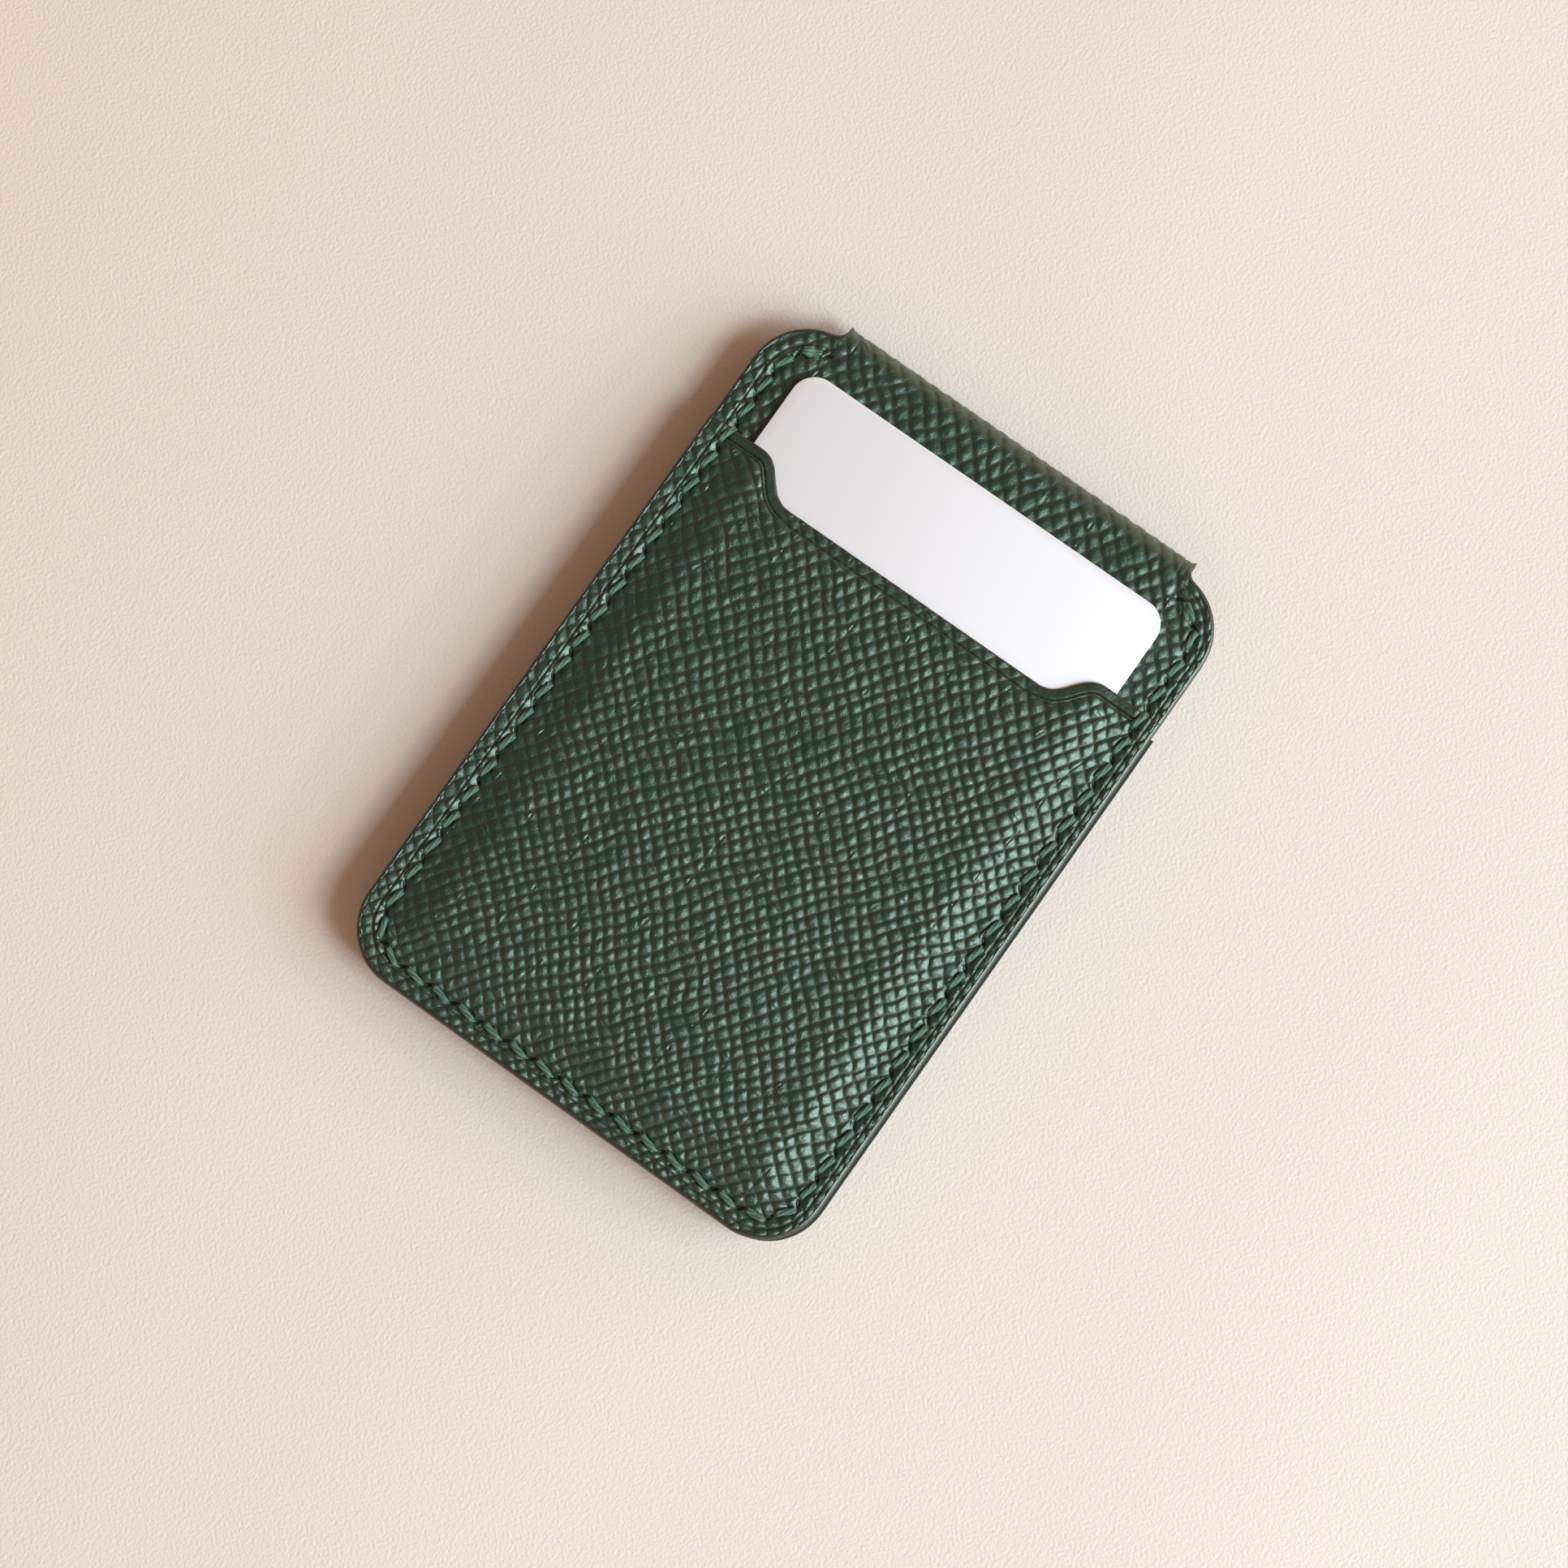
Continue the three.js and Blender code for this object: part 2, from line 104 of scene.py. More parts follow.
# Pocket
MOUTH_SEAT = 0.9  # the mouth lies this much lower than in the CAD
SHOULDER_Y = POCKET_HIGH[1] - MOUTH_SEAT
MOUTH_RISE = 4.45
MOUTH_Y = SHOULDER_Y - MOUTH_RISE
MOUTH_FLAT = 18.6  # half of the mouth's straight middle
MOUTH_CURVE = 7.0  # width of the S-curve on each side of it
CARD_CORNER_R = 3.18
CARD_SEAT = 0.6  # the card lies this much lower than in the CAD
CARD_ROOM_X = CARD_HIGH[0] + 0.3
CARD_ROOM_TOP = CARD_HIGH[2] + 0.06
CARD_ROOM_WALL = 0.15  # width of the step up into the card's room
INNER_MOUTH_DIP = 2.5
INNER_OVERHANG = 0.4  # the inner pocket shows this far past the cover on the high x side

# Fold
LINING_SLOPE = 2.0  # length over which a lining comes down to the fold
WORN_FROM = 2.0  # the fold's wear starts this far before the bend
BESIDE_STRIP = (STRIP_X - 0.6, STRIP_X + 1.0)  # where the folded strip passes into the flat corners

# Seam
SEAM_INSET = 2.82
SEAM_SHIFT = 0.35  # the whole seam lies this far to the high x side
SEAM_END_DEG = 82.0  # how far it follows each corner beside the fold
STITCHES = 63
SLIT_TURN_DEG = 35.0
SLIT_HALF = 0.72
SLIT_WIDTH = 0.24
HOLE_DEPTH = 0.34
VALLEY_WIDTH = 1.9
THREAD_WIDTH = 0.74
THREAD_HEIGHT = 0.54
THREAD_DIVE = 0.62  # how far a stitch's ends sink into their holes
HALF_TURNS = 0.9  # of the strands in one stitch
STRANDS = 4

# Grain
GRAIN_LINES = ((-38.0, 1.5, 31), (44.0, 1.55, 41))  # for each set: direction across, period, seed
WRINKLE_LINES = ((76.0, 4.1, 81), (-8.0, 6.3, 91))
GRAIN_DEPTH = 0.3
RISE_LENGTH = 0.5
FALL_LENGTH = 1.0
LATTICE = 256

# Edges
EDGE_ROWS = np.array([0.0, 0.03, 0.08, 0.15, 0.23, 0.32, 0.41, 0.5, 0.58, 0.68])
PAINTED = 0.5  # width of the edge paint that laps onto the grain side
LAP_DEPTH = 0.06
CREASE_WIDTH = 0.44
CREASE_DEPTH = 0.17
CHAMFER = 0.12
BACK_STEP = 8  # grid steps between the points of a sheet's plain side


# Number work


def smooth(value, low=0.0, high=1.0):
    """0 below low, 1 above high and an even S between them."""
    t = np.clip((value - low) / (high - low), 0.0, 1.0)
    return t * t * (3.0 - 2.0 * t)


def groove(distance, width):
    """1 in the middle of a groove and 0 from half its width outwards."""
    return 1.0 - smooth(np.abs(distance), 0.0, width / 2)


def noise(x, y, scale, seed):
    """Even noise between -1 and 1, with swells about as wide as scale."""
    table = np.random.default_rng(seed).uniform(-1.0, 1.0, (LATTICE, LATTICE))
    u = x / scale
    v = y / scale
    i = np.floor(u).astype(int)
    j = np.floor(v).astype(int)
    a = smooth(u - i)
    b = smooth(v - j)

    def blended(row):
        return table[i % LATTICE, row] * (1 - a) + table[(i + 1) % LATTICE, row] * a

    return blended(j % LATTICE) * (1 - b) + blended((j + 1) % LATTICE) * b


def larger(a, b, blend):
    """The larger of two distances, with the change from one to the other rounded off."""
    near = np.maximum(blend - np.abs(a - b), 0.0) / blend
    return np.maximum(a, b) + near * near * blend / 4


def nearest(x, y, line_x, line_y):
    """Distance from each point to the nearest point of a finely drawn line."""
    found = np.empty(x.shape)
    for row in range(x.shape[0]):
        across = x[row][:, None] - line_x[None, :]
        along = y[row][:, None] - line_y[None, :]
        found[row] = np.sqrt((across**2 + along**2).min(axis=1))
    return found


# Outlines


def free_end(x):
    """y of the free end's outline at x."""
    past = np.clip(np.abs(x) - CORNER_X, 0.0, CORNER_R)
    return LOW_CORNER_Y - np.sqrt(CORNER_R**2 - past**2)


def fold_corners(x):
    """s of the outline beside the fold: the strip's foot, the notch's fillet, then the corner."""
    across = np.abs(x)
    past = np.clip(across - CORNER_X, 0.0, CORNER_R)
    corner = HIGH_CORNER_Y + np.sqrt(CORNER_R**2 - past**2)
    in_fillet = np.clip(NOTCH_X - across, 0.0, NOTCH_R)
    fillet = NOTCH_S - np.sqrt(NOTCH_R**2 - in_fillet**2)
    return np.where(across < STRIP_X, NOTCH_S, np.where(across < NOTCH_JOIN_X, fillet, corner))


def mouth(x):
    """y of the pocket's mouth at x: a straight middle, an S-curve and a shoulder on each side."""
    t = np.linspace(0.0, 1.0, 200)
    run = 1.5 * t * (1 - t) + t**3
    part = np.clip((np.abs(x) - MOUTH_FLAT) / MOUTH_CURVE, 0.0, 1.0)
    return MOUTH_Y + MOUTH_RISE * np.interp(part, run, smooth(t))


def inner_mouth(x):
    """y of the inner pocket's mouth at x, a shallow curve with rounded ends."""
    return INNER_HIGH[1] - INNER_MOUTH_DIP * (1 - (x / HALF_WIDTH) ** 2)


def outline_depth(x, s):
    """How far a point of a half lies inside the outline of that half, fold side open."""
    across = np.abs(x)
    middle = (LOW_CORNER_Y + HIGH_CORNER_Y) / 2
    past_x = across - CORNER_X
    past_y = np.abs(s - middle) - (HIGH_CORNER_Y - middle)
    outside = np.hypot(np.maximum(past_x, 0.0), np.maximum(past_y, 0.0))
    inside = np.minimum(np.maximum(past_x, past_y), 0.0)
    rounded = CORNER_R - outside - inside
    strip = np.where(s > 0, STRIP_X - across, -HALF_WIDTH)
    return larger(rounded, strip, 1.6)


# Grids


def columns(step, corner_step=None, extra=()):
    """x of a grid's columns: even steps across the middle, and steps of even angle at the corners."""
    arc = CORNER_R * math.pi / 2
    turn = np.linspace(0.0, math.pi / 2, max(int(arc / (corner_step or step)), 8))
    corner = CORNER_X + CORNER_R * np.sin(turn)
    fillet = np.linspace(STRIP_X, NOTCH_JOIN_X, 9)
    right = np.concatenate([corner, fillet, [NOTCH_X], np.array(extra, float)])
    middle = np.linspace(-CORNER_X, CORNER_X, int(2 * CORNER_X / step) + 1)
    return thin_out(np.concatenate([middle, right, -right]), (STRIP_X, *extra))


def thin_out(values, kept):
    """Sorted values without near repeats. Those in kept, and their negatives, stay exact."""
    values = np.unique(np.round(values, 5))
    fixed = np.unique(np.round(np.concatenate([kept, -np.array(kept)]), 5))
    far = np.abs(values[:, None] - fixed[None, :]).min(axis=1) > 0.04
    return np.sort(np.concatenate([values[far], fixed]))


def rows(low, high, parts):
    """s of a grid's rows between two outlines: close together at both ends, and at parts between."""
    foot = low[None, :] + EDGE_ROWS[:, None]
    head = high[None, :] - EDGE_ROWS[::-1, None]
    share = np.asarray(parts)[:, None]
    middle = foot[-1] * (1 - share) + head[0] * share
    return np.vstack([foot, middle, head])


def even_parts(length, step):
    return np.linspace(0.0, 1.0, int(length / step) + 1)[1:-1]


def fold_line(flat, radius):
    """The section of a sheet that lies at height flat and then follows the fold at radius.

    Returns the distance along the sheet with y, z and the direction of its outer side there. Where
    the flat isn't in line with the fold, the sheet slopes to it over the last stretch.
    """
    start = FOLD_Y - LINING_SLOPE
    slope_y = np.linspace(start, FOLD_Y, 25)[:-1]
    slope_z = flat + (FOLD_R + radius - flat) * smooth(slope_y, start, FOLD_Y + 1e-6)
    turn = np.linspace(0.0, math.pi / 2, 40)
    y = np.concatenate([[FREE_Y - 1], slope_y, FOLD_Y + radius * np.sin(turn)])
    z = np.concatenate([[flat], slope_z, FOLD_R + radius * np.cos(turn)])
    steps = np.hypot(np.diff(y), np.diff(z))
    s = np.concatenate([[0.0], np.cumsum(steps)]) + FREE_Y - 1
    tangent_y = np.gradient(y, s)
    tangent_z = np.gradient(z, s)
    return s, y, z, -tangent_z, tangent_y


def on_plane(x, y, z):
    return np.stack(np.broadcast_arrays(x, y, z), axis=-1)


def on_line(line, x, s, height, mirrored):
    """Points of a folded sheet, of the rear half if mirrored. The corners beside the strip stay flat."""
    along, y, z, out_y, out_z = line
    bent_y = np.interp(s, along, y) + height * np.interp(s, along, out_y)
    bent_z = np.interp(s, along, z) + height * np.interp(s, along, out_z)
    beside = smooth(np.abs(x), *BESIDE_STRIP)
    at_y = bent_y * (1 - beside) + s * beside
    at_z = bent_z * (1 - beside) + (z[0] + height) * beside
    return on_plane(x, at_y, FRONT_TOP - at_z if mirrored else at_z)


# Meshes


def make_object(name, points, faces, material, smooth_deg=50.0):
    """A mesh object from points in millimetres and lists of vertex numbers."""
    mesh = bpy.data.meshes.new(name)
    sizes = np.array([len(face) for face in faces], np.int32)
    starts = np.concatenate([[0], np.cumsum(sizes)[:-1]]).astype(np.int32)
    loops = np.fromiter((v for face in faces for v in face), np.int32, int(sizes.sum()))
    mesh.vertices.add(len(points))
    mesh.vertices.foreach_set("co", (np.asarray(points) * MM).astype(np.float32).ravel())
    mesh.loops.add(len(loops))
    mesh.loops.foreach_set("vertex_index", loops)
    mesh.polygons.add(len(sizes))
    mesh.polygons.foreach_set("loop_start", starts)
    mesh.update(calc_edges=True)
    mesh.validate()
    mesh.shade_smooth()
    mesh.set_sharp_from_angle(angle=math.radians(smooth_deg))
    mesh.materials.append(material)
    made = bpy.data.objects.new(name, mesh)
    bpy.context.scene.collection.objects.link(made)
    return made


def set_mark(made, name, values):
    """Stores a number or a vector for each vertex, for the materials to read."""
    kind, field = ("FLOAT", "value") if values.ndim == 1 else ("FLOAT_VECTOR", "vector")
    layer = made.data.attributes.new(name, kind, "POINT")
    layer.data.foreach_set(field, values.astype(np.float32).ravel())


def rim_of(shape, strip):
    """The grid's outline as (row, column) pairs, anticlockwise."""
    foot, left, right = strip
    top = shape[0] - 1
    last = shape[1] - 1
    stops = [(0, 0), (0, last), (foot, last), (foot, right), (top, right)]
    stops += [(top, left), (foot, left), (foot, 0), (0, 0)]
    rim = []
    for (row_a, column_a), (row_b, column_b) in zip(stops, stops[1:]):
        count = max(abs(row_b - row_a), abs(column_b - column_a))
        step_row = np.sign(row_b - row_a)
        step_column = np.sign(column_b - column_a)
        rim += [(row_a + step_row * k, column_a + step_column * k) for k in range(count)]
    return rim


def coarse(count, kept):
    """Every BACK_STEP-th number up to count, the last, and those kept."""
    return sorted({*range(0, count, BACK_STEP), count - 1, *(int(k) for k in kept)})


def fine_faces(index, strip):
    """The fine side's faces, without the cells on either side of the strip."""
    foot, left, right = strip
    shown = np.ones((index.shape[0] - 1, index.shape[1] - 1), bool)
    shown[foot:, :left] = False
    shown[foot:, right:] = False
    ring = [index[:-1, :-1], index[:-1, 1:], index[1:, 1:], index[1:, :-1]]
    return np.stack(ring, axis=-1)[shown].tolist()


def plain_side(x, shape, strip, kept):
    """The plain side's points and faces, as (row, column) pairs of the grid."""
    foot, left, right = strip
    some_rows = coarse(shape[0], [foot])
    some_columns = coarse(shape[1], [left, right, *(np.abs(x - k).argmin() for k in kept)])
    spots = [(row, column) for row in some_rows for column in some_columns
             if row <= foot or left <= column <= right]
    tiles = []
    for row_a, row_b in zip(some_rows, some_rows[1:]):
        for column_a, column_b in zip(some_columns, some_columns[1:]):
            if row_a < foot or left <= column_a < right:
                tiles.append([(row_a, column_a), (row_b, column_a),
                              (row_b, column_b), (row_a, column_b)])
    return spots, tiles


def wall_faces(rim, rim_index, wall_start, number):
    """Faces from the fine side down to the wall's foot, and from there in to the plain side."""
    size = len(rim)
    foot = wall_start + np.arange(size)
    faces = np.stack([rim_index, foot, np.roll(foot, -1), np.roll(rim_index, -1)], axis=-1).tolist()
    tiles = []
    stations = [k for k, spot in enumerate(rim) if spot in number]
    for first, second in zip(stations, stations[1:] + [stations[0] + size]):
        run = [wall_start + k % size for k in range(first, second + 1)]
        ends = [number[rim[first]], number[rim[second % size]]]
        tiles.append([run[0]] + ends + run[:0:-1])
    return faces, tiles


def sheet(name, material, x, s, place, fine, plain, marks, strip=None, kept=(), flip=False):
    """A closed sheet of leather on a grid.

    The fine side has every grid point, at the heights in fine. The plain side has one point in
    BACK_STEP, at the heights in plain, and the wall between them carries the edge paint. strip is
    the fold strip's place: its foot's row and its side columns. The x in kept stay on both sides.
    """
    strip = strip or (s.shape[0] - 1, 0, s.shape[1] - 1)
    grid_x = np.broadcast_to(x, s.shape)
    index = np.arange(s.size).reshape(s.shape)
    rim = rim_of(s.shape, strip)
    spots, tiles = plain_side(x, s.shape, strip, kept)
    edge = tuple(np.array(rim).T)
    back = tuple(np.array(spots).T)
    wall_height = plain[edge] + np.sign(fine[edge] - plain[edge]) * CHAMFER
    points = np.concatenate([
        place(grid_x, s, fine).reshape(-1, 3),
        place(grid_x[edge], s[edge], wall_height),
        place(grid_x[back], s[back], plain[back]),
    ])
    number = {spot: s.size + len(rim) + k for k, spot in enumerate(spots)}
    wall, border = wall_faces(rim, index[edge], s.size, number)
    faces = fine_faces(index, strip) + wall
    faces += [[number[spot] for spot in tile] for tile in tiles] + border
    used = np.zeros(len(points), bool)
    used[np.concatenate(faces)] = True
    renumber = np.cumsum(used) - 1
    order = -1 if flip else 1
    faces = [renumber[face][::order].tolist() for face in faces]
    made = make_object(name, points[used], faces, material)
    add_marks(made, marks, grid_x, s, edge, back, used)
    return made


def add_marks(made, marks, grid_x, s, edge, plain, used):
    """Stores where each vertex is on the leather, and the marks that the materials read."""
    for name, values in marks.items():
        wall = values[edge] if name != "paint" else np.ones(len(edge[0]))
        back = values[plain] if name in ("hollow_shade", "olive") else np.zeros(len(plain[0]))
        set_mark(made, name, np.concatenate([values.ravel(), wall, back])[used])
    all_x = np.concatenate([grid_x.ravel(), grid_x[edge], grid_x[plain]])
    all_s = np.concatenate([s.ravel(), s[edge], s[plain]])
    depth = np.zeros_like(all_x)
    depth[s.size:] = 1.0
    set_mark(made, "leather", np.stack([all_x, all_s, depth], axis=-1)[used])


# Leather


def sway(x, s, scales, seed):
    """How far the leather was pulled out of line, in three sizes of swell."""
    swells = enumerate(zip((1.1, 0.26, 0.08), scales))
    return sum(reach * noise(x, s, scale, seed + k) for k, (reach, scale) in swells)


def pebbles(x, s):
    """The pressed grain, 0 in its grooves and about 1 on its pebbles.

    Two sets of wavering grooves cross. A pebble rises quickly from the grooves at its low x and
    falls slowly to the grooves at its high x.
    """
    pulled_x = x + sway(x, s, (21.0, 5.3, 1.9), 11)
    pulled_s = s + sway(x, s, (18.0, 4.7, 2.1), 21)
    phases = []
    for angle, period, _ in GRAIN_LINES:
        turn = math.radians(angle)
        across = pulled_x * math.cos(turn) + pulled_s * math.sin(turn)
        phases.append(across * (1.0 - 0.0012 * s) / period)
    height = np.ones(np.broadcast_shapes(x.shape, s.shape))
    for (_, period, seed), main, other in zip(GRAIN_LINES, phases, phases[::-1]):
        behind, ahead, strength_behind, strength_ahead = groove_distances(main, other, seed)
        rise = 1.0 - (1.0 - np.clip(behind * period / RISE_LENGTH, 0.0, 1.0)) ** 2
        fall = 1.0 - (1.0 - np.clip(ahead * period / FALL_LENGTH, 0.0, 1.0)) ** 2
        rise = 1.0 - (1.0 - rise) * strength_behind
        fall = 1.0 - (1.0 - fall) * strength_ahead
        height = height * rise * fall
    tall = 0.9 + 0.1 * noise(x, s, 1.5, 53)
    crumple = 0.09 * noise(x, s, 0.62, 54) + 0.09 * noise(x, s, 0.37, 55)
    height = height * (tall + crumple)
    for angle, period, seed in WRINKLE_LINES:
        height = height * (1.0 - 0.6 * wrinkles(x, s, angle, period, seed))
    return np.clip(height, 0.0, 1.1)


def wrinkles(x, s, angle, period, seed):
    """Short slanting wrinkles that cross the pebbles here and there, 1 in their middles."""
    turn = math.radians(angle)
    across = x * math.cos(turn) + s * math.sin(turn) + 0.5 * noise(x, s, 3.1, seed)
    off_line = np.abs(across / period - np.round(across / period)) * period
    here = smooth(noise(x, s, 2.3, seed + 1), 0.1, 0.45)
    return here * groove(off_line, 0.36)


def groove_distances(main, other, seed):
    """Periods back to the last groove and on to the next, and how strong each of them is.

    Each groove of the set main wavers by itself as it goes along the other set.
    """
    cell = np.floor(main)

    def waver(line):
        return 0.11 * noise(line, other * 0.83, 1.0, seed)

    cell = np.where(main < cell + waver(cell), cell - 1, cell)
    cell = np.where(main >= cell + 1 + waver(cell + 1), cell + 1, cell)
    behind = main - cell - waver(cell)
    ahead = cell + 1 + waver(cell + 1) - main

    def strength(line):
        return np.clip(1.05 + 0.7 * noise(line, other * 0.61, 1.0, seed + 2), 0.4, 1.0)

    return behind, ahead, strength(cell), strength(cell + 1)


def seam_course():
    """The seam's middle line, anticlockwise from the left corner beside the fold."""
    end = math.radians(SEAM_END_DEG)
    radius = CORNER_R - SEAM_INSET
    quarter = math.pi / 2
    turns = (
        (-CORNER_X, HIGH_CORNER_Y, math.pi - end, math.pi),
        (-CORNER_X, LOW_CORNER_Y, math.pi, 3 * quarter),
        (CORNER_X, LOW_CORNER_Y, 3 * quarter, 4 * quarter),
        (CORNER_X, HIGH_CORNER_Y, 4 * quarter, 4 * quarter + end),
    )
    arcs = []
    for centre_x, centre_y, begin, stop in turns:
        angle = np.linspace(begin, stop, 60)
        arcs.append([centre_x + radius * np.cos(angle), centre_y + radius * np.sin(angle)])
    x, y = np.concatenate(arcs, axis=1)
    x += SEAM_SHIFT
    run = np.concatenate([[0.0], np.cumsum(np.hypot(np.diff(x), np.diff(y)))])
    return run, x, y


SEAM_RUN, SEAM_X, SEAM_Y = seam_course()
PITCH = SEAM_RUN[-1] / STITCHES


def on_seam(run):
    return np.array([np.interp(run, SEAM_RUN, SEAM_X), np.interp(run, SEAM_RUN, SEAM_Y)])


def seam_at(run, step=0.05):
    """Position and heading of the seam's middle line at a distance along it."""
    along = on_seam(run + step) - on_seam(run - step)
    return on_seam(run), along / np.hypot(*along)


def near_seam(x, s):
    """Distance from the seam's middle line. Beside the fold it is cut off where the seam ends."""
    seam_x = x - SEAM_SHIFT
    depth = outline_depth(seam_x, s) - SEAM_INSET
    top_end = HIGH_CORNER_Y + (CORNER_R - SEAM_INSET) * math.sin(math.radians(SEAM_END_DEG))
    past_end = np.maximum(CORNER_X - 0.2 - np.abs(seam_x), 0.0) * (s > HIGH_CORNER_Y)
    beyond = np.maximum(s - top_end - 0.5, 0.0)
    return np.hypot(depth, np.hypot(past_end, beyond))


def slit_way(heading):
    """The direction of an awl hole on a seam that heads this way: turned in by SLIT_TURN_DEG."""
    turn = math.radians(SLIT_TURN_DEG)
    way_x, way_y = heading
    return np.array([
        way_x * math.cos(turn) - way_y * math.sin(turn),
        way_y * math.cos(turn) + way_x * math.sin(turn),
    ])


def awl_holes(x, s):
    """1 at the bottom of each slanting awl hole, fading to 0 round it."""
    marks = np.zeros(np.broadcast_shapes(x.shape, s.shape))
    for k in range(STITCHES + 1):
        (hole_x, hole_y), heading = seam_at(k * PITCH)
        slit_x, slit_y = slit_way(heading)
        dx = x - hole_x
        dy = s - hole_y
        along = (dx * slit_x + dy * slit_y) / (SLIT_HALF + 0.1)
        across = (dx * slit_y - dy * slit_x) / SLIT_WIDTH
        marks = np.maximum(marks, 1.0 - smooth(np.hypot(along, across), 0.35, 1.15))
    return marks


def crease_inset(x):
    """Where the creasing iron ran, measured from the edge: further in on the low x side."""
    return 1.65 - 0.45 * x / HALF_WIDTH


def edge_fall(depth, drop=0.5, reach=0.62):
    """How far a rounded edge has dropped at this depth inside the outline."""
    part = np.clip(1.0 - depth / reach, 0.0, 1.0)
    return drop * (1.0 - np.sqrt(np.clip(1.0 - part * part, 0.0, 1.0)))


def dressed(x, s, grain, depth, flatness, thread_sink=0.25):
    """Relief and marks that every outer leather has: grain, edge crease, seam valley and holes."""
    valley = groove(near_seam(x, s), VALLEY_WIDTH)
    crease = groove(depth - crease_inset(x), CREASE_WIDTH)
    scallop = depth + 0.16 * (grain - 0.6) + 0.04 * noise(x, s, 1.3, 61) - PAINTED
    painted = 1.0 - smooth(scallop, -0.06, 0.06)
    lap = groove(scallop, 0.24)
    press = np.clip(1.0 - flatness, 0.0, 1.0) * (1.0 - 0.35 * valley) * (1.0 - painted)
    holes = awl_holes(x, s)
    relief = -GRAIN_DEPTH * press * (1.0 - grain)
    relief -= GRAIN_DEPTH * 0.35 * (1.0 - press)
    relief -= CREASE_DEPTH * crease + thread_sink * valley + HOLE_DEPTH * holes + LAP_DEPTH * lap
    relief -= edge_fall(depth)
    # Painted shade: the pebble mark is low in the grooves and along the edge crease, and the third mark
    # darkens the awl holes, the seam's valley and the groove at the paint's lap.
    marks = {
        "pebble": np.clip(1.0 - (1.0 - grain) * press - 0.7 * crease, 0.0, 1.0),
        "paint": painted,
        "hollow_shade": np.clip(holes + 0.2 * valley + 0.9 * lap, 0.0, 1.0),
    }
    return relief, marks


# Materials


def srgb(red, green, blue):
    """A colour's linear values from its 0 to 255 ones."""
    linear = []
    for value in (red, green, blue):
        share = value / 255
        linear.append(share / 12.92 if share <= 0.04045 else ((share + 0.055) / 1.055) ** 2.4)
    return (*linear, 1.0)


PAINT_COLOURS = (srgb(30, 25, 22), srgb(46, 40, 36))


class Recipe:
    """A material and short ways to add its nodes."""

    def __init__(self, name, **values):
        self.material = bpy.data.materials.new(name)
        self.material.use_nodes = True
        self.nodes = self.material.node_tree.nodes
        self.links = self.material.node_tree.links
        self.shader = self.nodes["Principled BSDF"]
        self.fill(self.shader, **values)

    def feed(self, socket, value):
        if isinstance(value, bpy.types.NodeSocket):
            self.links.new(value, socket)
        elif value is not None:
            socket.default_value = value

    def fill(self, node, **values):
        """Feeds a node's inputs by name and returns its first output."""
        for name, value in values.items():
            self.feed(node.inputs[name.replace("_", " ")], value)
        return node.outputs[0]

    def mark(self, name, output="Fac"):
        node = self.nodes.new("ShaderNodeAttribute")
        node.attribute_name = name
        return node.outputs[output]

    def place(self):
        return self.nodes.new("ShaderNodeTexCoord").outputs["Object"]

    def normal_z(self):
        split = self.nodes.new("ShaderNodeSeparateXYZ")
        normal = self.nodes.new("ShaderNodeNewGeometry").outputs["Normal"]
        self.fill(split, Vector=normal)
        return self.math("ABSOLUTE", split.outputs["Z"])

    def math(self, operation, a, b=None):
        node = self.nodes.new("ShaderNodeMath")
        node.operation = operation
        self.feed(node.inputs[0], a)
        self.feed(node.inputs[1], b)
        return node.outputs[0]

    def span(self, value, low, high, to_low=0.0, to_high=1.0):
        node = self.nodes.new("ShaderNodeMapRange")
        return self.fill(node, Value=value, From_Min=low, From_Max=high, To_Min=to_low, To_Max=to_high)

    def stretch(self, vector, scale):
        return self.fill(self.nodes.new("ShaderNodeMapping"), Vector=vector, Scale=scale)

    def noise(self, vector, scale, detail=3.0, rough=0.55):
        node = self.nodes.new("ShaderNodeTexNoise")
        return self.fill(node, Vector=vector, Scale=scale, Detail=detail, Roughness=rough)

    def cracks(self, vector, scale):
        node = self.nodes.new("ShaderNodeTexVoronoi")
        node.feature = "DISTANCE_TO_EDGE"
        self.fill(node, Vector=vector, Scale=scale)
        return node.outputs["Distance"]

    def mix(self, share, a, b):
        node = self.nodes.new("ShaderNodeMix")
        node.data_type = "RGBA"
        for socket, value in zip((node.inputs[0], node.inputs[6], node.inputs[7]), (share, a, b)):
            self.feed(socket, value)
        return node.outputs[2]

    def bump(self, height, distance, strength=1.0, normal=None):
        node = self.nodes.new("ShaderNodeBump")
        return self.fill(node, Height=height, Distance=distance, Strength=strength, Normal=normal)

    def finish(self, colour, rough, normal):
        self.fill(self.shader, Base_Color=colour, Roughness=rough, Normal=normal)
        return self.material


